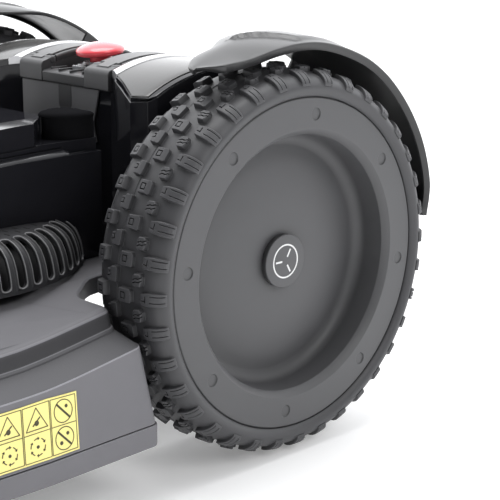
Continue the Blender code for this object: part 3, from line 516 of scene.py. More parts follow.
def side_lug():
    """The lug that wraps from the tread's edge over the shoulder, cut by a hook and two slits."""
    rings = []
    for index, (x, radius, half, sink) in enumerate(SIDE_LUG):
        before, after = SIDE_LUG[max(index - 1, 0)], SIDE_LUG[min(index + 1, len(SIDE_LUG) - 1)]
        normal = Vector((before[1] - after[1], after[0] - before[0])).normalized()
        ring = []
        for along, down in ((-half - 0.0006, sink), (-half, 0.0004), (-half + 0.0004, 0.0),
                            (half - 0.0004, 0.0),
                            (half, 0.0004), (half + 0.0006, sink)):
            ring.append((x - down * normal.x, along, radius - down * normal.y))
        rings.append(ring)
    lug = grid_solid(rings)
    hook = [(0.2206, 0.0022), (0.2206, -0.0014), (0.2180, -0.0008)]
    lug = cut(lug, groove(hook, 0.1421, 0.0022))
    for along, first in ((0.0026, 3), (-0.0018, 3)):
        rings = []
        for x, radius, _, _ in SIDE_LUG[first:-1]:
            rings.append([(x + out, along + side, radius + out) for side, out in
                          ((-0.0003, -0.0012), (0.0003, -0.0012), (0.0003, 0.0015), (-0.0003, 0.0015))])
        lug = cut(lug, grid_solid(rings))
    return lug


def wrapped(mesh, x, phase, base, tilt=0.0):
    """Copy a flat block round the tyre once for every pitch."""
    points, faces = [], []
    source = [v.co.copy() for v in mesh.vertices]
    polygons = [list(p.vertices) for p in mesh.polygons]
    c, s = math.cos(math.radians(tilt)), math.sin(math.radians(tilt))
    for k in range(TREAD_PITCHES):
        start = len(points)
        for across, along, up in source:
            angle = phase + 360 * k / TREAD_PITCHES + math.degrees(along / CARCASS_RADIUS)
            points.append(on_tyre(x + across * c + up * s, angle, base - across * s + up * c))
        faces += [[start + i for i in polygon] for polygon in polygons]
    return mesh_of(points, faces)


def mirrored_side(mesh, side):
    """The mesh, or its mirror image for the right-hand side."""
    if SIDES[side] > 0:
        return mesh
    copy = mesh.copy()
    copy.transform(Matrix.Diagonal((-1, 1, 1, 1)))
    copy.flip_normals()
    return copy


def inner_rib():
    """A low rib on the tyre's inner shoulder."""
    rings = []
    for x, drop in ((0.1690, 0.0036), (0.1655, 0.0064), (0.1622, 0.0100), (0.1600, 0.0134)):
        radius = CARCASS_RADIUS - drop
        rings.append([(x + 0.002, -0.0040, radius - 0.002), (x - 0.0003, -0.0034, radius + 0.0004),
                      (x - 0.0003, 0.0034, radius + 0.0004), (x + 0.002, 0.0040, radius - 0.002)])
    return grid_solid(rings)


def tyre_mesh():
    """Carcass, blocks and side lugs of the left tyre."""
    parts = [lathe(carcass_profile(), (0, AXLE.y, AXLE.z), "X", 216)]
    for x, phase, base, tilt, block_mesh in tread_rows():
        parts.append(wrapped(block_mesh, x, phase, base, tilt))
    parts.append(wrapped(side_lug(), 0.0, 0.0, 0.0))
    parts.append(wrapped(inner_rib(), 0.0, 5.0, 0.0))
    return joined(parts)


def disc_mesh():
    """The one-piece wheel: flat rim with shallow round marks, chamfered edge and a deep domed dish."""
    x = WHEEL_OUTER_X
    hub = 0.0093
    rim = [(x - 0.0008, RIM_RADIUS), (x, RIM_RADIUS - 0.0008), (x, 0.1004), (x - 0.0003, 0.0998),
           (x - 0.0044, 0.0962), (x - 0.0052, 0.0957)]
    fillet = [(x - 0.0205 - b, 0.0861 + a) for a, b in arc((0, 0), 0.0086, 0, 92, 10)]
    dome = []
    for i in range(13):
        radius = 0.0850 - (0.0850 - hub) * i / 12
        dome.append((x - 0.0205 - 0.0086 * (radius / 0.0850) ** 2.4, radius))
    back = [(0.1562, hub), (0.1562, 0.0196), (0.1602, 0.0206), (x - 0.0300, 0.0216), (x - 0.0332, 0.0838),
            (x - 0.0320, 0.0985), (0.1504, 0.1120), (0.1504, RIM_RADIUS)]
    body = lathe(rim + fillet + dome + back, (0, AXLE.y, AXLE.z), "X", 128)
    for i in range(8):
        angle = 7.1 + 45.0 * i
        mark = lathe([(-0.0009, 0.0), (-0.0009, 0.0042), (-0.0002, 0.0047), (0.002, 0.0047), (0.002, 0.0)],
                     on_tyre(x, angle, 0.1108), "X", 28)
        body = cut(body, mark)
    return body


def hub_mesh():
    """The round cap over the shaft's end, with a dark groove below its face."""
    low, high = WHEEL_OUTER_X - 0.0202, WHEEL_OUTER_X - 0.0155
    profile = [(low, 0.0), (low, 0.0196), (low + 0.0006, 0.0200), (high - 0.0006, 0.0203),
               (high - 0.0001, 0.0199),
               (high, 0.0194), (high, 0.0)]
    return lathe(profile, (0, AXLE.y, AXLE.z), "X", 72)


def hub_mark_mesh():
    """A plain ring with three spokes, raised a hair above the cap's face."""
    face = WHEEL_OUTER_X - 0.0155
    low, high = face - 0.0003, face - 0.00002 + 0.0001
    ring = lathe([(low, 0.0118), (high, 0.0118), (high, 0.0130), (low, 0.0130)], (0, AXLE.y, AXLE.z), "X",
                 64)
    parts = [ring]
    for i in range(3):
        a = math.radians(30 + 120 * i)
        out, side = Vector((math.sin(a), math.cos(a))), Vector((math.cos(a), -math.sin(a)))
        outline = [Vector((AXLE.y, AXLE.z)) + out * r + side * w
                   for r, w in ((0.0035, -0.0007), (0.0100, -0.0007), (0.0100, 0.0007), (0.0035, 0.0007))]
        parts.append(extrude([tuple(p) for p in outline], low, high, "X"))
    return joined(parts)


def rear_wheels():
    """Both rear wheels."""
    tyre, disc, hub, mark = tyre_mesh(), disc_mesh(), hub_mesh(), hub_mark_mesh()
    for side in SIDES:
        body = f"{side}_wheel"
        piece(f"tyre_{side}", mirrored_side(tyre, side), tyre_rubber(), body,
              [f"rear_tyre_{side}"])
        piece(f"disc_{side}", mirrored_side(disc, side), wheel_grey(), body,
              [f"wheel_disc_{side}"],
              sharp=24)
        piece(f"hub_{side}", mirrored_side(hub, side), wheel_grey(), body,
              [f"hub_cap_{side}"])
        piece(f"hub_mark_{side}", mirrored_side(mark, side), mark_white(), body)


# ---- fenders ------------------------------------------------------------------------------------
FENDER_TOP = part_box("fender_left")[1].z - AXLE.z
FENDER_LIP_X = 0.2160
FENDER_FRONT, FENDER_REAR = -27.5, 86.0
FENDER_STEPS = 150
FENDER_ACROSS = 26
FENDER_LIP_DROP = 0.0062


def between(value, table):
    """Cubic interpolation in a table of (position, value) pairs, flat outside it."""
    if value <= table[0][0]:
        return table[0][1]
    for i, ((a, low), (b, high)) in enumerate(zip(table, table[1:])):
        if value <= b:
            before, after = table[max(i - 1, 0)], table[min(i + 2, len(table) - 1)]
            t, run = (value - a) / (b - a), b - a
            start = run * (high - before[1]) / (b - before[0])
            end = run * (after[1] - low) / (after[0] - a)
            return ((2 * t ** 3 - 3 * t ** 2 + 1) * low + (t ** 3 - 2 * t ** 2 + t) * start
                    + (3 * t ** 2 - 2 * t ** 3) * high + (t ** 3 - t ** 2) * end)
    return table[-1][1]


FENDER_INNER = ((-27.5, 0.1950), (-26.0, 0.1860), (-23.5, 0.1800), (-19.0, 0.1750), (-13.0, 0.1700),
                (-5.0, 0.1550),
                (5.0, 0.1400), (15.0, 0.1340), (25.0, 0.1336), (90.0, 0.1336))
FENDER_OUTER = ((-27.5, 0.1990), (-26.0, 0.2050), (-24.5, 0.2115), (-22.0, 0.2150), (-18.0, FENDER_LIP_X),
                (90.0, FENDER_LIP_X))
# radius of the lip's upper edge, less the fender's outer radius
FENDER_SAG = ((-27.5, -0.0012), (-24.0, -0.0036), (-15.0, -0.0092), (-5.0, -0.0088), (2.0, -0.0072),
              (10.0, -0.0052),
              (22.0, -0.0034), (32.0, -0.0014), (43.0, -0.0006), (76.0, -0.0010), (86.0, -0.0080))


def fender_section(angle):
    """Inner edge x, outer edge x and lip radius of the fender at an angle."""
    return (between(angle, FENDER_INNER), between(angle, FENDER_OUTER),
            FENDER_TOP + between(angle, FENDER_SAG))


def brow(x, angle):
    """How far the raised brow behind the beak stands up at a point of the fender."""
    run = min(max((x - 0.1780) / 0.0330, 0.0), 1.0)
    line = -12.0 + 16.0 * (1 - (1 - run) ** 2.2)
    fade = 1 - smooth(angle, 14.0, 40.0)
    edge_fade = 1 - smooth(x, 0.2060, 0.2130)
    return 0.0027 * smooth(angle, line, line + 0.6) * fade * edge_fade * smooth(run, 0.0, 0.12)


def fender_point(angle, across, inset):
    """A point of the fender's skin; inset moves it towards the axle."""
    inner, outer, lip = fender_section(angle)
    x = inner + (outer - inner) * across
    top = FENDER_TOP - 0.0028 - 0.0040 * smooth(angle, 78.0, 86.5)
    if across < 0.40:
        dip = 0.0020 + 0.0030 * smooth(angle, -23.0, -12.0) * (1 - smooth(angle, 0.0, 16.0))
        radius = top - dip * (1 - across / 0.40) ** 2
    else:
        radius = top - (top - lip) * ((across - 0.40) / 0.60) ** 1.7
    return x, radius + brow(x, angle) - inset


def fender_mesh():
    """The left fender: domed skin, rolled lip with a vertical band, hollow underneath."""
    rings = []
    for i in range(FENDER_STEPS + 1):
        ease = (i / FENDER_STEPS) ** 1.35
        angle = FENDER_FRONT + (FENDER_REAR - FENDER_FRONT) * ease
        tail = 1 - smooth(angle, FENDER_REAR - 1.5, FENDER_REAR)
        section = [fender_point(angle, j / FENDER_ACROSS, 0.0) for j in range(FENDER_ACROSS + 1)]
        edge_x, edge_r = section[-1]
        nose = smooth(angle, FENDER_FRONT, FENDER_FRONT + 4)
        drop = FENDER_LIP_DROP * (0.35 + 0.65 * nose) * (0.5 + 0.5 * tail)
        section += [(edge_x + 0.0007, edge_r - 0.0003), (edge_x + 0.0011, edge_r - 0.0010),
                    (edge_x - 0.0004, edge_r - drop + 0.0006), (edge_x - 0.0009, edge_r - drop),
                    (edge_x - 0.0022, edge_r - drop), (edge_x - 0.0027, edge_r - drop + 0.0008),
                    (edge_x - 0.0029, edge_r - 0.0034)]
        under = [fender_point(angle, j / 8, 0.0030) for j in range(7, -1, -1)]
        section += under
        first_x, first_r = section[0]
        section += [(first_x - 0.0006, first_r - 0.0022), (first_x - 0.0006, first_r - 0.0008)]
        rings.append([on_tyre(x, angle, r) for x, r in section])
    return grid_solid(rings)


def fender_web_mesh():
    """The wall that ties the fender to the tower, between the wheel and the tower's side."""
    low, high = 0.1325, 0.1352
    angles = [32 + 44 * i / 24 for i in range(25)]
    outline = [tuple(on_tyre(0, a, FENDER_TOP - 0.0060))[1:] for a in angles]
    for a in reversed(angles):
        inner = 0.1282 - 0.006 * math.sin(math.pi * (a - 32) / 44)
        outline.append(tuple(on_tyre(0, a, inner))[1:])
    return extrude(outline, low, high, "X")


def fenders():
    """Both fenders, with their webs."""
    skin, web = fender_mesh(), fender_web_mesh()
    for side in SIDES:
        piece(f"fender_skin_{side}", mirrored_side(skin, side), fender_grey(), "chassis",
              [f"fender_{side}"], sharp=45)
        soften(piece(f"fender_web_{side}", mirrored_side(web, side), fender_grey(), "chassis"), 0.0004)


# ---- tower, shoulders and module ----------------------------------------------------------------
TOWER_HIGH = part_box("tower_shell")[1]
MODULE_LOW, MODULE_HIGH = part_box("top_module")
ARC_RADIUS, ARC_Y = 0.135, 0.158
ARC_BASE = MODULE_HIGH.z + 0.0005 - ARC_RADIUS
SHOULDER_STEPS = 36
BUTTON_TILT = math.radians(5.5)


def arc_z(y):
    """Height of the tower's top arc at y."""
    return ARC_BASE + math.sqrt(ARC_RADIUS ** 2 - (y - ARC_Y) ** 2)


def arc_strip(section, front, rear, steps=SHOULDER_STEPS, fronts=None):
    """Sweep a closed (x, height above the arc) section along the arc; fronts gives each point's front y."""
    rings = []
    for i in range(steps + 1):
        ring = []
        for index, (x, up) in enumerate(section):
            start = fronts[index] if fronts else front
            y = start + (rear - start) * i / steps
            ring.append((x, y, arc_z(y) + up))
        rings.append(ring)
    return grid_solid(rings)


def shoulder_nose(x):
    """Front edge of a shoulder's top at x: a slanted inner corner, a straight front and an outer corner."""
    line = [(0.0604, 0.1102), (0.0880, 0.0985), (0.1120, 0.0868), (0.1280, 0.0902), (0.1316, 0.0962)]
    for (x0, y0), (x1, y1) in zip(line, line[1:]):
        if x <= x1:
            return y0 + (y1 - y0) * (x - x0) / (x1 - x0)
    return line[-1][1]


def shoulder_top_mesh():
    """The gloss plate on the tower's shoulder, with a bevelled front and a lower outer edge."""
    top = [(0.0726, 0.0), (0.0790, 0.0), (0.0880, 0.0), (0.0960, -0.0001), (0.1040, -0.0003),
           (0.1120, -0.0006),
           (0.1200, -0.0011), (0.1262, -0.0017), (0.1268, -0.0019)]
    section = top + [(0.1268, -0.0042), (0.1120, -0.0042), (0.0880, -0.0042), (0.0726, -0.0042)]
    fronts = [shoulder_nose(x) + 0.0014 for x, _ in section]
    return arc_strip(section, 0.0, TOWER_HIGH.y - 0.0006, fronts=fronts)


def shoulder_rim_mesh():
    """The plate's lower surround, which shows as a thin edge line and the dark bevel under the front."""
    section = [(0.0722, -0.0009), (0.0880, -0.0009), (0.1120, -0.0015), (0.1278, -0.0028),
               (0.1312, -0.0036),
               (0.1316, -0.0046), (0.1316, -0.0062), (0.1120, -0.0062), (0.0880, -0.0062),
               (0.0722, -0.0062)]
    fronts = [shoulder_nose(x) + (0.0006 if up > -0.0045 else 0.0) for x, up in section]
    return arc_strip(section, 0.0, TOWER_HIGH.y - 0.0003, fronts=fronts)


def shoulder_band_mesh():
    """The smooth band along the plate's inner edge, tipped towards the module; its pale metal colour is a
    painted reflection.
    """
    section = [(0.0602, -0.0008), (0.0608, 0.0004), (0.0625, 0.0012), (0.0656, 0.0016), (0.0694, 0.0014),
               (0.0715, 0.0007), (0.0722, -0.0004), (0.0722, -0.0050), (0.0602, -0.0050)]
    fronts = [shoulder_nose(x) + 0.0008 for x, _ in section]
    return arc_strip(section, 0.0, TOWER_HIGH.y - 0.0006, fronts=fronts)


def rail_profile(inset, bottom, front, rear, radius):
    """Side view of a rail: rounded front edge, arched top and a lower rear end."""
    corner = arc_z(front + radius) - inset
    points = [(front, bottom)]
    for i in range(6):
        a = math.radians(180 - 90 * i / 5)
        points.append((front + radius + radius * math.cos(a), corner - radius + radius * math.sin(a)))
    steps = 28
    points += [(y, arc_z(y) - inset) for y in
               [front + radius + (rear - 0.002 - front - radius) * i / steps for i in range(1, steps + 1)]]
    return points + [(rear, arc_z(rear) - inset - 0.002), (rear, bottom)]


def rail_mesh():
    """The left rail of the module with a rounded bead along both edges and a knuckle near the front."""
    bottom, front, rear = MODULE_LOW.z, MODULE_LOW.y, MODULE_HIGH.y
    core = extrude(rail_profile(0.0008, bottom + 0.0002, front + 0.0060, rear, 0.0042), 0.0306, 0.0564, "X")
    cap_rear = 0.1225
    cap = extrude(rail_profile(0.0, bottom, front, cap_rear, 0.0046)[:-16] +
                  [(cap_rear, arc_z(cap_rear) - 0.0002), (cap_rear, bottom)], 0.0282, 0.0588, "X")
    parts = [core, cap]
    for x, sign in ((0.0306, -1), (0.0564, 1)):
        bead = []
        for i in range(9):
            a = math.radians(-25 + 205 * i / 8)
            bead.append((x + sign * 0.0022 * math.cos(a), -0.0022 + 0.0022 * math.sin(a)))
        bead += [(x - sign * 0.0010, -0.0060), (x + sign * 0.0014, -0.0060)]
        parts.append(arc_strip(bead, cap_rear + 0.0012, rear - 0.0015, 26))
        wall = sorted((x - sign * 0.0005, x + sign * 0.0012))
        lower = [(y, min(z, arc_z(max(y, cap_rear)) - 0.0052)) for y, z in
                 rail_profile(0.0052, bottom, cap_rear - 0.001, rear - 0.001, 0.003)]
        parts.append(extrude(lower, wall[0], wall[1], "X"))
    knuckle_y = cap_rear - 0.0030
    knuckle = lathe([(0.0277, 0.0), (0.0277, 0.0022), (0.0283, 0.0030), (0.0591, 0.0030), (0.0595, 0.0022),
                     (0.0595, 0.0)], (0, knuckle_y, arc_z(knuckle_y) - 0.0026), "X", 24)
    return joined(parts + [knuckle])


def channel_mesh():
    """The sunk middle of the module: a lip at the front, ribs and a ramp up to the button's seat."""
    low, front, rear = MODULE_LOW.z, MODULE_LOW.y, MODULE_HIGH.y
    half = 0.0279
    floor = 0.2675
    side = [(front + 0.0006, low), (front + 0.0002, floor - 0.0012), (front + 0.0014, floor),
            (0.1180, floor + 0.0012), (0.1270, floor + 0.0002), (0.1270, floor - 0.0016),
            (0.1330, floor - 0.0016),
            (0.1330, floor), (0.1680, floor), (0.1720, floor + 0.0060), (0.2100, floor + 0.0050),
            (rear - 0.001, 0.2520), (rear - 0.001, min(low, 0.2500))]
    base = extrude(side, -half, half, "X")
    hole = lathe([(0.24, 0.0), (0.24, 0.0133), (0.30, 0.0133), (0.30, 0.0)],
                 (BUTTON_CENTRE.x, BUTTON_CENTRE.y, 0), "Z", 40)
    base = cut(base, hole)
    parts = [base]
    for x0, x1, y0, y1, up in ((-0.0240, -0.0222, 0.1140, 0.1300, 0.0022),
                               (-0.0090, -0.0072, 0.1105, 0.1262, 0.0026),
                               (0.0060, 0.0078, 0.1105, 0.1262, 0.0026),
                               (0.0200, 0.0218, 0.1120, 0.1290, 0.0030)):
        parts.append(block((x0, y0, floor - 0.0020), (x1, y1, floor + up)))
    return joined(parts)


def tongue_outline(x_low, x_high, front, rear, grow=0.0):
    """Plan of an inset plate whose front end steps in to a narrower tongue."""
    step = front + 0.0078
    inner, outer = x_low + 0.0034, x_high - 0.0034
    return [(inner - grow, front - grow), (outer + grow, front - grow), (outer + grow, step - grow),
            (x_high + grow, step - grow), (x_high + grow, rear + grow), (x_low - grow, rear + grow),
            (x_low - grow, step - grow), (inner - grow, step - grow)]


def draped(outline, low, high, cell=0.004):
    """A thin sheet of a plan outline laid on the arc, between two heights above it."""
    sheet = extrude(outline, 0.0, 1.0)
    bm = bmesh.new()
    bm.from_mesh(sheet)
    y_low, y_high = min(p[1] for p in outline), max(p[1] for p in outline)
    y = y_low + cell
    while y < y_high - 0.001:
        whole = bm.verts[:] + bm.edges[:] + bm.faces[:]
        bmesh.ops.bisect_plane(bm, geom=whole, plane_co=(0, y, 0), plane_no=(0, 1, 0))
        y += cell
    for vertex in bm.verts:
        vertex.co.z = arc_z(vertex.co.y) + (high if vertex.co.z > 0.5 else low)
    bm.to_mesh(sheet)
    bm.free()
    return sheet


def top_assembly():
    """Shoulders, module, plates, button and collar."""
    top, rim, band = shoulder_top_mesh(), shoulder_rim_mesh(), shoulder_band_mesh()
    rail = rail_mesh()
    plate = draped(tongue_outline(0.0338, 0.0540, 0.1148, 0.2060), -0.0009, 0.0007)
    # A black sheet a little larger than each plate lies under its edge: a painted shadow in the gap round
    # it.
    shadow = draped(tongue_outline(0.0338, 0.0540, 0.1148, 0.2060, 0.0008), -0.0010, 0.0001)
    dot = lathe([(-0.0010, 0.0), (-0.0010, 0.0009), (0.0003, 0.0009), (0.0003, 0.0)],
                (0.0352, 0.1200, arc_z(0.1200)), "Z", 12)
    shadow = joined([shadow, dot])
    for side in SIDES:
        soften(piece(f"shoulder_{side}", mirrored_side(top, side), shoulder_gloss(), "chassis",
                     [f"shoulder_cover_{side}"]), 0.0005)
        soften(piece(f"shoulder_rim_{side}", mirrored_side(rim, side), gloss_black(), "chassis"),
               0.0004)
        # The band's pale colour is a painted reflection.
        piece(f"shoulder_band_{side}", mirrored_side(band, side), painted_reflection_trim(), "chassis",
              sharp=50)
        soften(piece(f"module_rail_{side}", mirrored_side(rail, side), module_grey(), "chassis",
                     ["top_module"]), 0.0005)
        soften(piece(f"inset_plate_{side}", mirrored_side(plate, side), plate_grey(), "chassis",
                     [f"rail_plate_{side}"]), 0.00025, 1)
        piece(f"plate_gap_{side}", mirrored_side(shadow, side), painted_shade_black(), "chassis")
    soften(piece("module_channel", channel_mesh(), module_grey(), "chassis",
                 ["top_module"]), 0.0004)

    centre = (BUTTON_CENTRE.x, BUTTON_CENTRE.y, 0)
    high, radius = BUTTON_HIGH.z, (BUTTON_HIGH.x - BUTTON_LOW.x) / 2
    edge = high - 0.0100
    profile = [(BUTTON_LOW.z, 0.0), (BUTTON_LOW.z, 0.0090), (edge - 0.0008, 0.0090),
               (edge - 0.0002, 0.0110),
               (edge, radius - 0.0030), (edge + 0.0003, radius - 0.0010), (edge + 0.0012, radius - 0.0003),
               (edge + 0.0021, radius - 0.0001), (edge + 0.0023, radius - 0.0005),
               (edge + 0.0025, radius - 0.0001),
               (edge + 0.0040, radius), (edge + 0.0048, radius - 0.0006), (edge + 0.0061, radius - 0.0022),
               (edge + 0.0075, radius - 0.0056), (edge + 0.0088, radius - 0.0102),
               (edge + 0.0096, radius - 0.0150),
               (high, 0.0)]
    head = lathe(profile, centre, "Z", 72)
    pivot = Vector((BUTTON_CENTRE.x, BUTTON_CENTRE.y, edge + 0.0030))
    tilt = Matrix.Translation(pivot) @ Matrix.Rotation(BUTTON_TILT, 4, "X") @ Matrix.Translation(-pivot)
    head.transform(tilt)
    piece("stop_mushroom", head, stop_red(), "stop_button", ["stop_button"],
          sharp=50)
    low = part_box("stop_collar")[0].z
    ring = [(low, 0.0100), (low, 0.0124), (0.2681, 0.0124), (0.2681, 0.0163), (0.2692, 0.0165),
            (0.2696, 0.0152),
            (0.2712, 0.0149), (0.2716, 0.0160), (0.2728, 0.0160), (0.2731, 0.0146), (0.2740, 0.0140),
            (0.2742, 0.0100)]
    piece("collar", lathe(ring, centre, "Z", 48), clear_ring(), "chassis", ["stop_collar"])
    tab = joined([block((-0.0060, 0.1225, 0.2679), (0.0050, 0.1282, 0.2722)),
                  block((-0.0040, 0.1262, 0.2720), (0.0030, 0.1300, 0.2730))])
    soften(piece("collar_tab", tab, clear_ring(), "chassis"), 0.0008)
    apron()


def apron():
    """A grey sheet on the tower's front below the module, a painted reflection in the gloss front, with a
    darker soft patch in it; and a black strip as painted shadow in the gap under the module.
    """
    front = 0.1118
    top, low = MODULE_LOW.z - 0.0012, 0.2160
    edge = [(0.0400, low), (0.0372, 0.2250), (0.0368, 0.2330), (0.0392, 0.2400), (0.0440, top)]
    panel = extrude([(-0.0588, low)] + edge + [(-0.0588, top)], front - 0.0016, front, "Y")
    soften(piece("apron_reflection_sheet", panel, apron_reflection_grey(), "chassis"), 0.0004)
    # A darker soft patch within the painted reflection.
    dark = extrude([(x, z) for x, z in arc((0.0, 0.2440), 0.0085, 180, 360, 12)] + [(0.0085, top),
                                                                                    (-0.0085, top)],
                   front - 0.0019, front - 0.0004, "Y")
    soften(piece("apron_reflection_dark", dark, module_grey(), "chassis"), 0.0003)
    # A black strip under the module's front edge: painted shadow in the gap.
    shadow = extrude([(-0.0590, MODULE_LOW.z - 0.0009), (0.0590, MODULE_LOW.z - 0.0009),
                      (0.0590, MODULE_LOW.z - 0.0003), (-0.0590, MODULE_LOW.z - 0.0003)],
                      MODULE_LOW.y + 0.0010,
                     MODULE_LOW.y + 0.0050, "Y")
    piece("module_gap", shadow, painted_shade_black(), "chassis")


# ---- hood and vents -----------------------------------------------------------------------------
HOOD_LOW, HOOD_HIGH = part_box("front_hood")
HOOD_REAR, HOOD_FRONT = HOOD_HIGH.y, HOOD_LOW.y
HOOD_WALL = 0.003


def hood_side(drop, inset, base):
    """Side view of the hood's upper body: front wall, roof and rear wall, down to base."""
    roof = [(HOOD_FRONT + 0.0600, 0.1930), (-0.1300, 0.2180), (-0.0900, 0.2330), (-0.0600, 0.2398),
            (-0.0300, 0.2436), (0.0000, 0.2455), (0.0200, 0.2462), (0.0450, 0.2462)]
    points = [(y, z - drop) for y, z in roof]
    return [(HOOD_FRONT + 0.0500 + inset, base)] + points + [(0.0700 - inset, 0.2455 - drop),
                                                             (HOOD_REAR - 0.0010 - inset, 0.2420 - drop),
                                                             (HOOD_REAR - 0.0010 - inset, base)]


def hood_skirt(drop, inset, base):
    """Side view of the hood's wider lower body, whose top is the long ledge."""
    return [(HOOD_FRONT + inset, base), (HOOD_FRONT + inset, 0.1560 - drop),
            (HOOD_FRONT + 0.0060 + inset, 0.1660 - drop), (HOOD_FRONT + 0.0180 + inset, 0.1740 - drop),
            (HOOD_FRONT + 0.0400, 0.1830 - drop), (HOOD_FRONT + 0.0900, 0.1975 - drop),
            (-0.1200, 0.2095 - drop),
            (-0.0600, 0.2164 - drop), (0.0000, 0.2199 - drop), (0.0480, 0.2206 - drop),
            (0.0600, 0.2206 - drop), (HOOD_REAR - inset, 0.2206 - drop), (HOOD_REAR - inset, base)]


def hood_bottom(mesh):
    """Trim the hood's body to the deck and the waist under it."""
    deck = [(HOOD_FRONT - 0.05, 0.05), (HOOD_FRONT - 0.05, 0.1245), (-0.0800, 0.1245), (-0.0405, 0.1299),
            (-0.0405, 0.1393), (HOOD_REAR + 0.05, 0.1393), (HOOD_REAR + 0.05, 0.05)]
    return cut(mesh, extrude(deck, -0.2, 0.2, "X"))


def hood_mesh():
    """The gloss hood: a wide lower body, a narrower upper body and the ledge between them."""
    half = HOOD_HIGH.x
    lower = extrude(hood_skirt(0.0, 0.0, 0.12), -half, half, "X")
    upper = extrude(hood_side(0.0, 0.0, 0.13), -0.0850, 0.0850, "X")
    body = cut(lower, upper, "UNION")
    corner = [(0.1050, 0.0190), (0.0835, 0.0190), (0.0640, 0.0385), (0.0640, 0.0400), (0.0740, 0.0445),
              (0.0800, 0.0520), (0.0828, 0.0620), (0.0832, HOOD_REAR + 0.01), (0.1050, HOOD_REAR + 0.01)]
    for sign in (1, -1):
        body = cut(body, extrude([(sign * x, y) for x, y in corner], 0.2300, 0.27))
    hollow = extrude(hood_skirt(HOOD_WALL, HOOD_WALL, 0.09), -half + HOOD_WALL, half - HOOD_WALL, "X")
    hollow_upper = extrude(hood_side(0.0150, HOOD_WALL + 0.001, 0.10), -0.0605, 0.0605, "X")
    body = cut(body, cut(hollow, hollow_upper, "UNION"))
    recess = [(-0.1150, 0.2700), (-0.1150, 0.2300), (-0.0950, 0.2215), (-0.0500, 0.2330), (0.0, 0.2370),
              (HOOD_REAR + 0.01, 0.2385), (HOOD_REAR + 0.01, 0.2700)]
    body = cut(body, extrude(recess, -0.0630, 0.0630, "X"))
    body = hood_bottom(body)
    for sign in (1, -1):
        for z, end, deep in ((0.2252, 0.0440, 0.0012), (0.2287, 0.0215, 0.0010)):
            x0, x1 = sorted((sign * (0.0850 - deep), sign * 0.0870))
            line = [(-0.0900, z - 0.0078), (-0.0300, z - 0.0022), (end, z), (end, z + 0.0011),
                    (-0.0300, z - 0.0011), (-0.0900, z - 0.0067)]
            body = cut(body, extrude(line, x0, x1, "X"))
    return body


def hood_ledge_mesh():
    """The bright bevelled strip along the hood's left side, with a round rear end."""
    rings = []
    for y, grow in ((-0.1500, 1.0), (-0.1200, 1.0), (-0.0600, 1.0), (-0.0300, 1.0), (0.0000, 1.0),
                    (0.0300, 1.0),
                    (0.0440, 1.0), (0.0468, 0.85), (0.0484, 0.55), (0.0490, 0.15)):
        z = between(y, ((-0.1500, 0.2010), (-0.1200, 0.2080), (-0.0600, 0.2150), (0.0, 0.2190),
                        (0.0500, 0.2205)))
        rings.append([(0.0830, y, z - 0.0030), (0.0888, y, z - 0.0024 * grow),
                      (0.0897, y, z - 0.0012 * grow),
                      (0.0896, y, z - 0.0002), (0.0886, y, z + 0.0012 * grow),
                      (0.0860, y, z + 0.0034 * grow),
                      (0.0830, y, z + 0.0038 * grow)])
    return grid_solid(rings)


def hood_lid_mesh():
    """The dark rounded plate on the hood's rear left corner, with its skirt."""
    outline = [(0.0590, 0.0412), (0.0651, 0.0392), (0.0700, 0.0402), (0.0745, 0.0430), (0.0804, 0.0502),
               (0.0839, 0.0614), (0.0846, 0.0700), (0.0838, 0.0744), (0.0535, 0.0744), (0.0492, 0.0650),
               (0.0490, 0.0560), (0.0532, 0.0470)]
    rings = []
    centre_x, centre_y = 0.0672, 0.0600
    for z, scale in ((0.2300, 0.96), (0.2460, 0.97), (0.2466, 1.0), (0.2478, 1.0), (0.2489, 0.96),
                     (0.2497, 0.85), (0.2500, 0.66)):
        rings.append([(centre_x + (x - centre_x) * scale, centre_y + (y - centre_y) * scale, z)
                      for x, y in outline])
    return grid_solid(rings)


VENT_CENTRE_Y = -0.045
VENT_PROFILE = ((0.1393, 0.1366), (0.1460, 0.1360), (0.1530, 0.1350), (0.1590, 0.1334), (0.1640, 0.1312),
                (0.1680, 0.1280), (0.1708, 0.1240), (0.1727, 0.1190), (0.1740, 0.1120), (0.1748, 0.1040),
                (0.1750, 0.0960), (0.1750, 0.0700))
VENT_PITCH = 6.0
VENT_START = 0.2
VENT_MEAN_RADIUS = 0.1345
VENT_SKIN = 0.0018
VENT_STEPS = 8


def vent_point(angle, along, out=0.0):
    """A point of the round shoulder: angle about its axis, distance along the profile and height off it."""
    run = along
    for (z0, r0), (z1, r1) in zip(VENT_PROFILE, VENT_PROFILE[1:]):
        length = math.hypot(z1 - z0, r1 - r0)
        if run <= length or (z1, r1) == VENT_PROFILE[-1]:
            t = run / length
            radius = r0 + (r1 - r0) * t + out * (z1 - z0) / length
            height = z0 + (z1 - z0) * t + out * (r0 - r1) / length
            break
        run -= length
    a = math.radians(angle)
    return Vector((radius * math.cos(a), VENT_CENTRE_Y + radius * math.sin(a), height))


SLOT_HALF, SLOT_LOW, SLOT_HIGH = 0.0037, 0.0040, 0.0435
VENT_PANEL_TOP, VENT_END = 0.0462, 0.0660
SLOT_END_STEPS, SLOT_SIDE_STEPS = 10, 9
RIM_STEPS = 7


def vent_turn(across):
    """The angle in degrees that a distance along the ring stands for."""
    return math.degrees(across / VENT_MEAN_RADIUS)


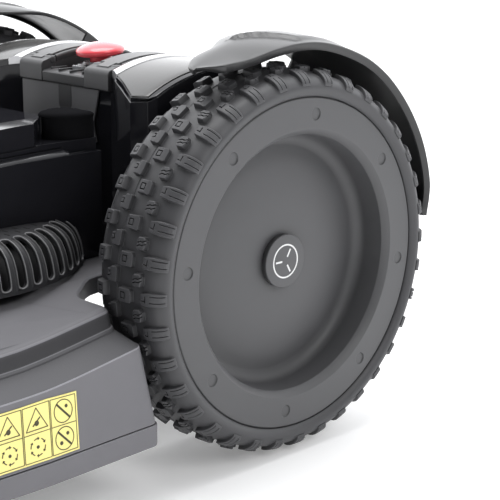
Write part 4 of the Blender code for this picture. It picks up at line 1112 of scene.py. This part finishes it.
def slot_outline():
    """The slot and its panel's border as matching (across, along) points."""
    side = math.radians(VENT_PITCH / 2) * VENT_MEAN_RADIUS
    hole, border = [], []
    for base, end in ((-1, SLOT_LOW), (1, SLOT_HIGH)):
        edge = 0.0 if base < 0 else VENT_PANEL_TOP
        middle = end - base * SLOT_HALF
        for i in range(SLOT_END_STEPS + 1):
            a = math.pi * i / SLOT_END_STEPS
            hole.append((base * SLOT_HALF * math.cos(a), middle + base * SLOT_HALF * math.sin(a)))
            corner = 2
            if i < corner:
                border.append((base * side, middle + (edge - middle) * i / corner))
            elif i > SLOT_END_STEPS - corner:
                border.append((-base * side, middle + (edge - middle) * (SLOT_END_STEPS - i) / corner))
            else:
                share = (i - corner) / (SLOT_END_STEPS - 2 * corner)
                border.append((base * side * (1 - 2 * share), edge))
        next_middle = SLOT_HIGH - SLOT_HALF if base < 0 else SLOT_LOW + SLOT_HALF
        for i in range(1, SLOT_SIDE_STEPS):
            along = middle + (next_middle - middle) * i / SLOT_SIDE_STEPS
            hole.append((-base * SLOT_HALF, along))
            border.append((-base * side, along))
    return hole, border


def vent_shell():
    """The slotted shell as an outer and an inner skin with walls along every open edge."""
    hole, border = slot_outline()
    places, levels, faces = {}, [], []

    def corner(angle, across, along, out):
        key = (round((angle + vent_turn(across)) * 50), round(along * 2e5))
        if key not in places:
            places[key] = len(levels)
            levels.append((angle + vent_turn(across), along, out))
        return places[key]

    shares = ((0.0, 0.0004), (0.16, 0.0008), (0.34, 0.0007), (0.50, 0.0), (1.0, 0.0))
    count = len(hole)
    for step in range(-VENT_STEPS, VENT_STEPS + 1):
        angle = VENT_START + VENT_PITCH * step
        loops = []
        for share, out in shares:
            loops.append([corner(angle, hx + (bx - hx) * share, hs + (bs - hs) * share, out)
                          for (hx, hs), (bx, bs) in zip(hole, border)])
        for one, two in zip(loops, loops[1:]):
            faces += [[one[i], one[(i + 1) % count], two[(i + 1) % count], two[i]] for i in range(count)]
        tops = sorted({round(bx, 7) for bx, bs in border if bs == VENT_PANEL_TOP})
        rows = [VENT_PANEL_TOP + (VENT_END - VENT_PANEL_TOP) * i / 6 for i in range(7)]
        for s0, s1 in zip(rows, rows[1:]):
            for x0, x1 in zip(tops, tops[1:]):
                faces.append([corner(angle, x0, s0, 0.0), corner(angle, x1, s0, 0.0),
                              corner(angle, x1, s1, 0.0),
                              corner(angle, x0, s1, 0.0)])
    total = len(levels)
    points = [vent_point(*level) for level in levels]
    points += [vent_point(angle, along, -VENT_SKIN) for angle, along, _ in levels]
    uses = {}
    for face in faces:
        for one, two in zip(face, face[1:] + face[:1]):
            uses.setdefault(frozenset((one, two)), []).append((one, two))
    skins = faces + [[total + i for i in reversed(face)] for face in faces]
    for pairs in uses.values():
        if len(pairs) == 1:
            one, two = pairs[0]
            skins.append([two, one, total + one, total + two])
    return mesh_of(points, skins)


def vent_rims_mesh():
    """A raised rim round every slot, pale as a painted highlight along its rounded edge."""
    hole, border = slot_outline()
    count, parts = len(hole), []
    section = ((0.02, 0.0002), (0.02, 0.0011), (0.20, 0.0013), (0.20, 0.0002))
    for step in range(-RIM_STEPS, RIM_STEPS + 1):
        angle = VENT_START + VENT_PITCH * step
        points = []
        for share, out in section:
            points += [vent_point(angle + vent_turn(hx + (bx - hx) * share), hs + (bs - hs) * share, out)
                       for (hx, hs), (bx, bs) in zip(hole, border)]
        faces = []
        for row in range(4):
            one, two = row * count, (row + 1) % 4 * count
            faces += [[one + i, one + (i + 1) % count, two + (i + 1) % count, two + i]
                      for i in range(count)]
        parts.append(mesh_of(points, faces))
    return joined(parts)


def vent_mesh():
    """The left half of the slotted round shoulder."""
    return cut(vent_shell(), block((HOOD_HIGH.x + GAP, -0.3, 0.1), (0.2, 0.0815, 0.2)), "INTERSECT")


def vent_slits_mesh():
    """Two rows of small slits above the slots, drawn as black blocks: painted shade in the openings."""
    parts = []
    for row, (low, offset) in enumerate(((0.0488, 0.0), (0.0556, 0.5))):
        for step in range(-RIM_STEPS, RIM_STEPS + 1):
            angle = VENT_START + VENT_PITCH * (step + offset)
            if abs(angle) < (36, 27)[row]:
                rings = []
                for out in (-0.0006, 0.00025):
                    rings.append([vent_point(angle + vent_turn(x), low + along, out) for x, along in
                                  ((-0.0007, 0.0), (0.0007, 0.0), (0.0007, 0.0046), (-0.0007, 0.0046))])
                parts.append(grid_solid(rings))
    return joined(parts)


def hood_and_vents():
    """Hood, lid and both vented shoulders."""
    soften(piece("hood_body", hood_mesh(), gloss_black(), "chassis", ["front_hood"]),
           0.0014, 3)
    for side in SIDES:
        piece(f"hood_lid_{side}", mirrored_side(hood_lid_mesh(), side), lid_black(), "chassis",
              sharp=40)
        piece(f"hood_ledge_{side}", mirrored_side(hood_ledge_mesh(), side), gloss_black(), "chassis",
              sharp=50)
    vent, slits, rims = vent_mesh(), vent_slits_mesh(), vent_rims_mesh()
    # A black ring behind the slots so that they read dark: painted shade inside them.
    liner = lathe([(0.1400, 0.0920), (0.1640, 0.0920), (0.1640, 0.1130), (0.1590, 0.1200), (0.1500, 0.1240),
                   (0.1400, 0.1260)], (0, VENT_CENTRE_Y, 0), "Z", 90)
    liner = cut(liner, block((HOOD_HIGH.x + GAP, -0.3, 0.1), (0.2, 0.0800, 0.2)), "INTERSECT")
    for side in SIDES:
        piece(f"vent_skin_{side}", mirrored_side(vent, side), vent_grey(), "chassis",
              [f"vent_cover_{side}"], sharp=30)
        piece(f"vent_rims_{side}", mirrored_side(rims, side), vent_rim_highlight(), "chassis",
              sharp=60)
        piece(f"vent_slits_{side}", mirrored_side(slits, side), painted_shade_black(), "chassis")
        piece(f"vent_liner_{side}", mirrored_side(liner, side), painted_shade_black(), "chassis")


# ---- deck, bumper and label ---------------------------------------------------------------------
DECK_LOW, DECK_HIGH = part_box("bumper_strip")
DECK_HALF = DECK_HIGH.x
DECK_REAR_TAPER = 0.0055
DECK_FRONT_Y = DECK_LOW.y
DECK_CORNER = 0.085
DECK_STEPS = 10
DECK_SLOPE, DECK_LEVEL_Y, DECK_BEND = 0.135, -0.080, 0.040
SEAM_Z, SKIRT_Z = 0.058, DECK_LOW.z
STEP_INNER, STEP_FRONT, SHELF_Z = 0.170, -0.200, 0.1150
PANEL_TOP_Z = 0.1138


def deck_rise(y):
    """Extra height of the deck at y, relative to its height at y = 0."""
    return DECK_SLOPE * max(y, DECK_LEVEL_Y)


def deck_bend(y):
    """How much the rounded start of the slope stands above the sharp one at y."""
    reach = max(DECK_BEND - abs(y - DECK_LEVEL_Y), 0.0)
    return DECK_SLOPE * reach ** 2 / (4 * DECK_BEND)


def panel_share(y, z):
    """Share of the side panel's height at y that a height z stands for."""
    return min(max((z - SEAM_Z) / (PANEL_TOP_Z - SEAM_Z + deck_rise(y)), 0.0), 1.0)


def deck_half(inset, rear_y, rear_corner=0.007):
    """Half outline of the deck in plan, front to rear, with round front and rear corners."""
    half = DECK_HALF - inset
    corner = DECK_CORNER - inset
    points = arc((half - corner, DECK_FRONT_Y + inset + corner), corner, -90, 0, 20)
    corner_end = points[-1][1]
    for i in range(1, DECK_STEPS + 1):
        points.append((half, corner_end + (DECK_LEVEL_Y - corner_end) * i / DECK_STEPS))
    end = rear_y - rear_corner
    for i in range(1, DECK_STEPS + 1):
        y = DECK_LEVEL_Y + (end - DECK_LEVEL_Y) * i / DECK_STEPS
        points.append((half - DECK_REAR_TAPER * (y - DECK_LEVEL_Y) / (rear_y - DECK_LEVEL_Y), y))
    last = points[-1][0]
    for i in range(1, 6):
        a = math.radians(90 * i / 5)
        points.append((last - rear_corner * (1 - math.cos(a)), end + rear_corner * math.sin(a)))
    return points


def deck_ring(inset, height, rear_y, level=False):
    """One closed ring of the deck at a height above y = 0."""
    half = deck_half(inset, rear_y)
    points = half + [(-x, y) for x, y in reversed(half)]
    return [(x, y, height if level else height + deck_rise(y)) for x, y in points]


def deck_mesh():
    """The matte upper moulding: side panels, a shelf, one step with a beaded foot and the waist."""
    top = [(0.0005, SEAM_Z, 0.0150), (0.0030, 0.1138, 0.0040), (0.0036, 0.1146, 0.0038),
           (0.0050, 0.1150, 0.0030),
           (0.0260, 0.1200, 0.0020), (0.0272, 0.1203, 0.0020), (0.0276, 0.1216, 0.0018),
           (0.0290, 0.1228, 0.0018),
           (0.0302, 0.1230, 0.0018), (0.0308, 0.1238, 0.0016), (0.0322, 0.1300, 0.0014),
           (0.0328, 0.1326, 0.0012), (0.0340, 0.1341, 0.0006), (0.0360, 0.1349, -0.0002),
           (0.0385, 0.1352, -0.0014)]
    rings = [deck_ring(inset, height, rear, level=index == 0)
             for index, (inset, height, rear) in enumerate(top)]
    cover = grid_solid(rings)
    waist_half = [(0.118, -0.030), (0.1900, -0.0140), (0.1900, -0.0010), (0.1590, 0.0010), (0.1520, 0.0050),
                  (0.1470, 0.0105), (0.1425, 0.0165), (0.1375, 0.0220), (0.1335, 0.0290), (0.1314, 0.0380),
                  (0.1306, 0.0480), (0.1306, 0.0800)]
    outline = waist_half + [(-x, y) for x, y in reversed(waist_half)]
    rings = [[(x, y, 0.1255) for x, y in outline],
             [(x, y, min(0.1340 + DECK_SLOPE * y, 0.1378)) for x, y in outline],
             [(x - math.copysign(0.0016, x), y - 0.0012, min(0.1351 + DECK_SLOPE * y, 0.1390))
              for x, y in outline]]
    cover = cut(cover, grid_solid(rings), "UNION")
    cavity = [(0.0045, SEAM_Z - 0.02, 0.0110), (0.0070, 0.1090, -0.0002), (0.0310, 0.1160, -0.0020),
              (0.0370, 0.1300, -0.0030)]
    hollow = grid_solid([deck_ring(inset, height, rear, level=index == 0)
                         for index, (inset, height, rear) in enumerate(cavity)])
    cover = cut(cover, hollow)
    cover = cut(cover, block((-0.129, -0.020, 0.03), (0.129, 0.030, 0.1161)))
    cover = cut(cover, block((-0.080, HOOD_FRONT + 0.006, 0.09), (0.080, 0.072, 0.2)))
    for sign in SIDES.values():
        recess = block((sign * 0.045 - 0.014, DECK_FRONT_Y - 0.01, 0.065),
                       (sign * 0.045 + 0.014, DECK_FRONT_Y + 0.0035, 0.089))
        cover = cut(cover, recess)
        hole = lathe([(0.09, 0.0), (0.09, 0.014), (0.2, 0.014), (0.2, 0.0)], (sign * 0.150, -0.232, 0),
                     "Z", 28)
        cover = cut(cover, hole)
    return cover


def bumper_mesh():
    """The lower strip round the deck, open at the rear."""
    top, low = SEAM_Z - 0.0008, SKIRT_Z
    rings = []
    outer = deck_half(0.0002, 0.0160, 0.006)
    inner = deck_half(0.0072, 0.0160, 0.003)
    path_out = list(reversed(outer)) + [(-x, y) for x, y in outer][1:]
    path_in = list(reversed(inner)) + [(-x, y) for x, y in inner][1:]
    for (xo, yo), (xi, yi) in zip(path_out, path_in):
        ox, oy = (xo - xi) / 0.007, (yo - yi) / 0.007
        rings.append([(xi, yi, low), (xo - 0.0014 * ox, yo - 0.0014 * oy, low),
                      (xo - 0.0003 * ox, yo - 0.0003 * oy, low + 0.0012),
                      (xo, yo, low + 0.0026), (xo, yo, top - 0.0005),
                      (xo - 0.0005 * ox, yo - 0.0005 * oy, top),
                      (xi, yi, top)])
    return grid_solid(rings)


def on_panel(y, t, out=0.0):
    """A point of the left side panel: y and the share of its height; out is the height off it."""
    half = DECK_HALF - 0.0005 - 0.0025 * t
    run = 0.0150 * (1 - t) + 0.0040 * t - DECK_LEVEL_Y
    x = half - DECK_REAR_TAPER * max(y - DECK_LEVEL_Y, 0.0) / run
    return Vector((x + out + 0.0003, y, SEAM_Z + (PANEL_TOP_Z - SEAM_Z + deck_rise(y) + deck_bend(y)) * t))


LABEL_Y = (-0.1640, -0.0560)
LABEL_Z = (0.0600, 0.0983)


def label_point(a, b, out):
    """A point of the label from its rear lower corner: a runs forward and b up, in metres."""
    y = LABEL_Y[1] - a
    z = LABEL_Z[0] + b
    t = (z - SEAM_Z) / (0.1132 - SEAM_Z + deck_rise(y))
    return on_panel(y, t, out)


def label_shape(outline, low=0.0, high=0.0):
    """A flat shape on the label, bent to follow the panel."""
    return grid_solid([[label_point(a, b, out) for a, b in outline] for out in (low, high)])


def label_line(path, width=0.0005, out=0.0003):
    """A printed line along a path of (forward, up) points."""
    shapes = []
    for start, end in zip(path, path[1:]):
        start, end = Vector(start), Vector(end)
        side = Vector((-(end - start).y, (end - start).x)).normalized() * width / 2
        shapes.append(label_shape([tuple(start - side), tuple(end - side), tuple(end + side),
                                   tuple(start + side)],
                                  0.00005, out))
    return shapes


def ring_path(centre, radius, start=0.0, stop=360.0, steps=24):
    """Points round a circle on the label."""
    return arc(centre, radius, start, stop, steps)


def label():
    """A plain yellow grid with simple shapes on the left side panel; it has no words."""
    width, height = LABEL_Y[1] - LABEL_Y[0], LABEL_Z[1] - LABEL_Z[0]
    stations = sorted([width * i / 12 for i in range(13)] + [LABEL_Y[1] - DECK_LEVEL_Y])
    rings = [[label_point(a, b, out) for b, out in ((0.0, -0.0006), (0.0, 0.0001), (height / 2, 0.0001),
                                                   (height, 0.0001), (height, -0.0006),
                                                   (height / 2, -0.0006))]
             for a in stations]
    piece("label_sheet", grid_solid(rings), label_yellow(), "chassis")
    ink = []
    margin, gap = 0.0014, 0.0010
    pitch = (width - 2 * margin + gap) / 5
    middle = height / 2
    for column in range(5):
        left = margin + pitch * column
        right = left + pitch - gap
        ink += label_line([(left, margin), (right, margin), (right, height - margin),
                           (left, height - margin),
                           (left, margin)], 0.0004)
        ink += label_line([(left, middle), (right, middle)], 0.0004)
        centre_a = (left + right) / 2
        upper, lower = (centre_a, middle + middle / 2 - margin / 2), (centre_a, middle / 2 + margin / 2)
        ink += label_cell(column, upper, True) + label_cell(column, lower, False)
    piece("label_ink", joined(ink), label_ink(), "chassis")


def label_cell(column, centre, upper):
    """A simple shape for one cell of the label."""
    a, b = centre
    ink = []
    if upper and column in (1, 2, 4):
        ink += label_line([(a - 0.0082, b - 0.0066), (a + 0.0082, b - 0.0066), (a, b + 0.0072),
                           (a - 0.0082, b - 0.0066)], 0.0005)
        ink.append(label_shape(ring_path((a, b - 0.0026), 0.0017, 0, 345, 12), 0.00005, 0.0003))
        ink += label_line([(a - 0.0028, b + 0.0008), (a + 0.0030, b - 0.0040)], 0.0008)
    elif column in (0, 3):
        ink += label_line(ring_path(centre, 0.0074), 0.0005)
        turn = 0.0052
        ink += label_line([(a + turn, b + turn), (a - turn, b - turn)], 0.0013)
        ink.append(label_shape(ring_path((a - 0.0026, b + 0.0028), 0.0012, 0, 345, 10), 0.00005, 0.0003))
        if not upper:
            ink.append(label_shape(ring_path((a + 0.0028, b - 0.0026), 0.0013, 0, 345, 10), 0.00005,
                                   0.0003))
    else:
        for k in range(6):
            ink += label_line(ring_path(centre, 0.0055, 60 * k, 60 * k + 36, 5), 0.0006)
            tip = arc(centre, 0.0055, 60 * k + 44, 60 * k + 44, 1)[0]
            wing = arc(centre, 0.0066, 60 * k + 30, 60 * k + 30, 1)[0]
            other = arc(centre, 0.0044, 60 * k + 30, 60 * k + 30, 1)[0]
            ink.append(label_shape([tip, wing, other], 0.00005, 0.0003))
        ink.append(label_shape(ring_path(centre, 0.0011, 0, 345, 12), 0.00005, 0.0003))
    return ink


# height of a deck band's top above y = 0, and how its grey compares with the side panel's; the greys
# stand in for the shading seen in the photo
DECK_BANDS = ((0.11385, 1.0), (0.1146, 1.6), (0.1228, 0.51), (0.1231, 1.1), (0.1331, 0.34), (0.1340, 1.2),
              (1.0, 0.84))


def shade_deck(made):
    """Paint shade into the deck's shelf, step wall and top, and highlights into its edge lines, as greys of
    their own.
    """
    slots = {}
    for face in made.data.polygons:
        x, y, z = face.center
        height = z - deck_rise(y)
        # Each band's factor lightens or darkens its grey as painted highlight or painted shade.
        factor = next(value for limit, value in DECK_BANDS if height < limit)
        if abs(x) < STEP_INNER and y > STEP_FRONT:
            factor = DECK_BANDS[-1][1] if height > SHELF_Z else 1.0
        if factor not in slots:
            slots[factor] = len(slots)
            if slots[factor]:
                made.data.materials.append(deck_shade_copy(f"deck_grey_{slots[factor]}", factor))
            else:
                made.data.materials[0] = deck_shade_copy("deck_grey_0", factor)
        face.material_index = slots[factor]


def deck():
    """Deck, bumper and label."""
    body = piece("deck_body", deck_mesh(), deck_grey(), "chassis", ["deck_cover"])
    shade_deck(body)
    for vertex in body.data.vertices:
        _, y, z = vertex.co
        vertex.co.z += deck_bend(y) * panel_share(y, z)
    soften(body, 0.0008, 2, 40)
    piece("bumper", bumper_mesh(), deck_grey(), "chassis", ["bumper_strip"])
    label()


# ---- studio -------------------------------------------------------------------------------------
BRIGHT_WALL = (-0.70, 0.70, 0.14)


def studio():
    """A pale floor, soft lights, a pale world and the camera."""
    floor = bpy.data.objects.new("floor", block((-40, -40, -0.02), (40, 40, 0.0)))
    bpy.context.scene.collection.objects.link(floor)
    white = bpy.data.materials.new("floor_white")
    white.use_nodes = True
    shader = white.node_tree.nodes["Principled BSDF"]
    shader.inputs["Base Color"].default_value = (0.88, 0.88, 0.88, 1)
    shader.inputs["Roughness"].default_value = 0.9
    shader.inputs["Specular IOR Level"].default_value = 0.1
    shader.inputs["Emission Color"].default_value = (1, 1, 1, 1)
    shader.inputs["Emission Strength"].default_value = 0.22
    floor.data.materials.append(white)

    world = bpy.data.worlds.new("studio")
    bpy.context.scene.world = world
    world.use_nodes = True
    tree = world.node_tree
    place = node(tree, "ShaderNodeTexCoord")
    facing = node(tree, "ShaderNodeVectorMath", operation="DOT_PRODUCT")
    facing.inputs[1].default_value = BRIGHT_WALL
    wall = node(tree, "ShaderNodeMapRange", interpolation_type="SMOOTHSTEP")
    wall.inputs["From Min"].default_value = -0.25
    wall.inputs["From Max"].default_value = 0.55
    wall.inputs["To Min"].default_value = 0.19
    wall.inputs["To Max"].default_value = 2.3
    tree.links.new(place.outputs["Generated"], facing.inputs[0])
    tree.links.new(facing.outputs["Value"], wall.inputs["Value"])
    tree.links.new(wall.outputs["Result"], tree.nodes["Background"].inputs["Strength"])
    tree.nodes["Background"].inputs["Color"].default_value = (0.97, 0.98, 1.0, 1)

    def softbox(name, place, target, size, power):
        light = bpy.data.lights.new(name, "AREA")
        light.shape = "RECTANGLE"
        light.size, light.size_y = size
        light.energy = power
        made = bpy.data.objects.new(name, light)
        made.location = place
        made.rotation_euler = (Vector(target) - Vector(place)).to_track_quat("-Z", "Y").to_euler()
        made.visible_camera = False
        bpy.context.scene.collection.objects.link(made)

    softbox("top", (-0.3, 0.3, 2.6), (0, 0, 0), (1.8, 1.8), 46)
    softbox("right", (2.7, 0.1, 2.1), (0.1, 0.1, 0.1), (1.6, 1.6), 34)

    eye = Vector((0.9129, -0.5649, 0.4091))
    azimuth, elevation, roll = math.radians(45.92), math.radians(14.34), 0.0065
    back = Vector((math.sin(azimuth) * math.cos(elevation), -math.cos(azimuth) * math.cos(elevation),
                   math.sin(elevation)))
    right = Vector((0, 0, 1)).cross(back).normalized()
    up = back.cross(right)
    rolled_right = right * math.cos(roll) + up * math.sin(roll)
    rolled_up = up * math.cos(roll) - right * math.sin(roll)
    turn = Matrix((rolled_right, rolled_up, back)).transposed()
    camera = bpy.data.objects.new("camera", bpy.data.cameras.new("camera"))
    camera.data.lens = 100.8
    camera.data.clip_start = 0.05
    camera.matrix_world = Matrix.Translation(eye) @ turn.to_4x4()
    bpy.context.scene.collection.objects.link(camera)
    bpy.context.scene.camera = camera
    bpy.context.scene.view_settings.view_transform = "Standard"


# ---- carried-over nodes -------------------------------------------------------------------------
def dress_frame():
    """Give every node of the frame that stays visible its finished material."""
    finishes = {
        "deck_grey": deck_grey, "fender_grey": fender_grey, "plate_grey": plate_grey,
        "wheel_grey": wheel_grey,
        "module_dark": module_grey, "gloss_black": gloss_black, "stop_red": stop_red,
        "clear_ring": clear_ring,
        "tyre_rubber": tyre_rubber, "steel": steel, "frame_aluminium": cast_metal,
        "motor_aluminium": cast_metal,
    }
    slots = {entry["node"]: entry["material_slot"] for entry in frame["record"]["subparts"]}
    for name, part in frame["nodes"].items():
        part.data.materials.clear()
        part.data.materials.append(finishes[slots[name]]())


dress_frame()
rear_wheels()
fenders()
top_assembly()
hood_and_vents()
deck()
studio()
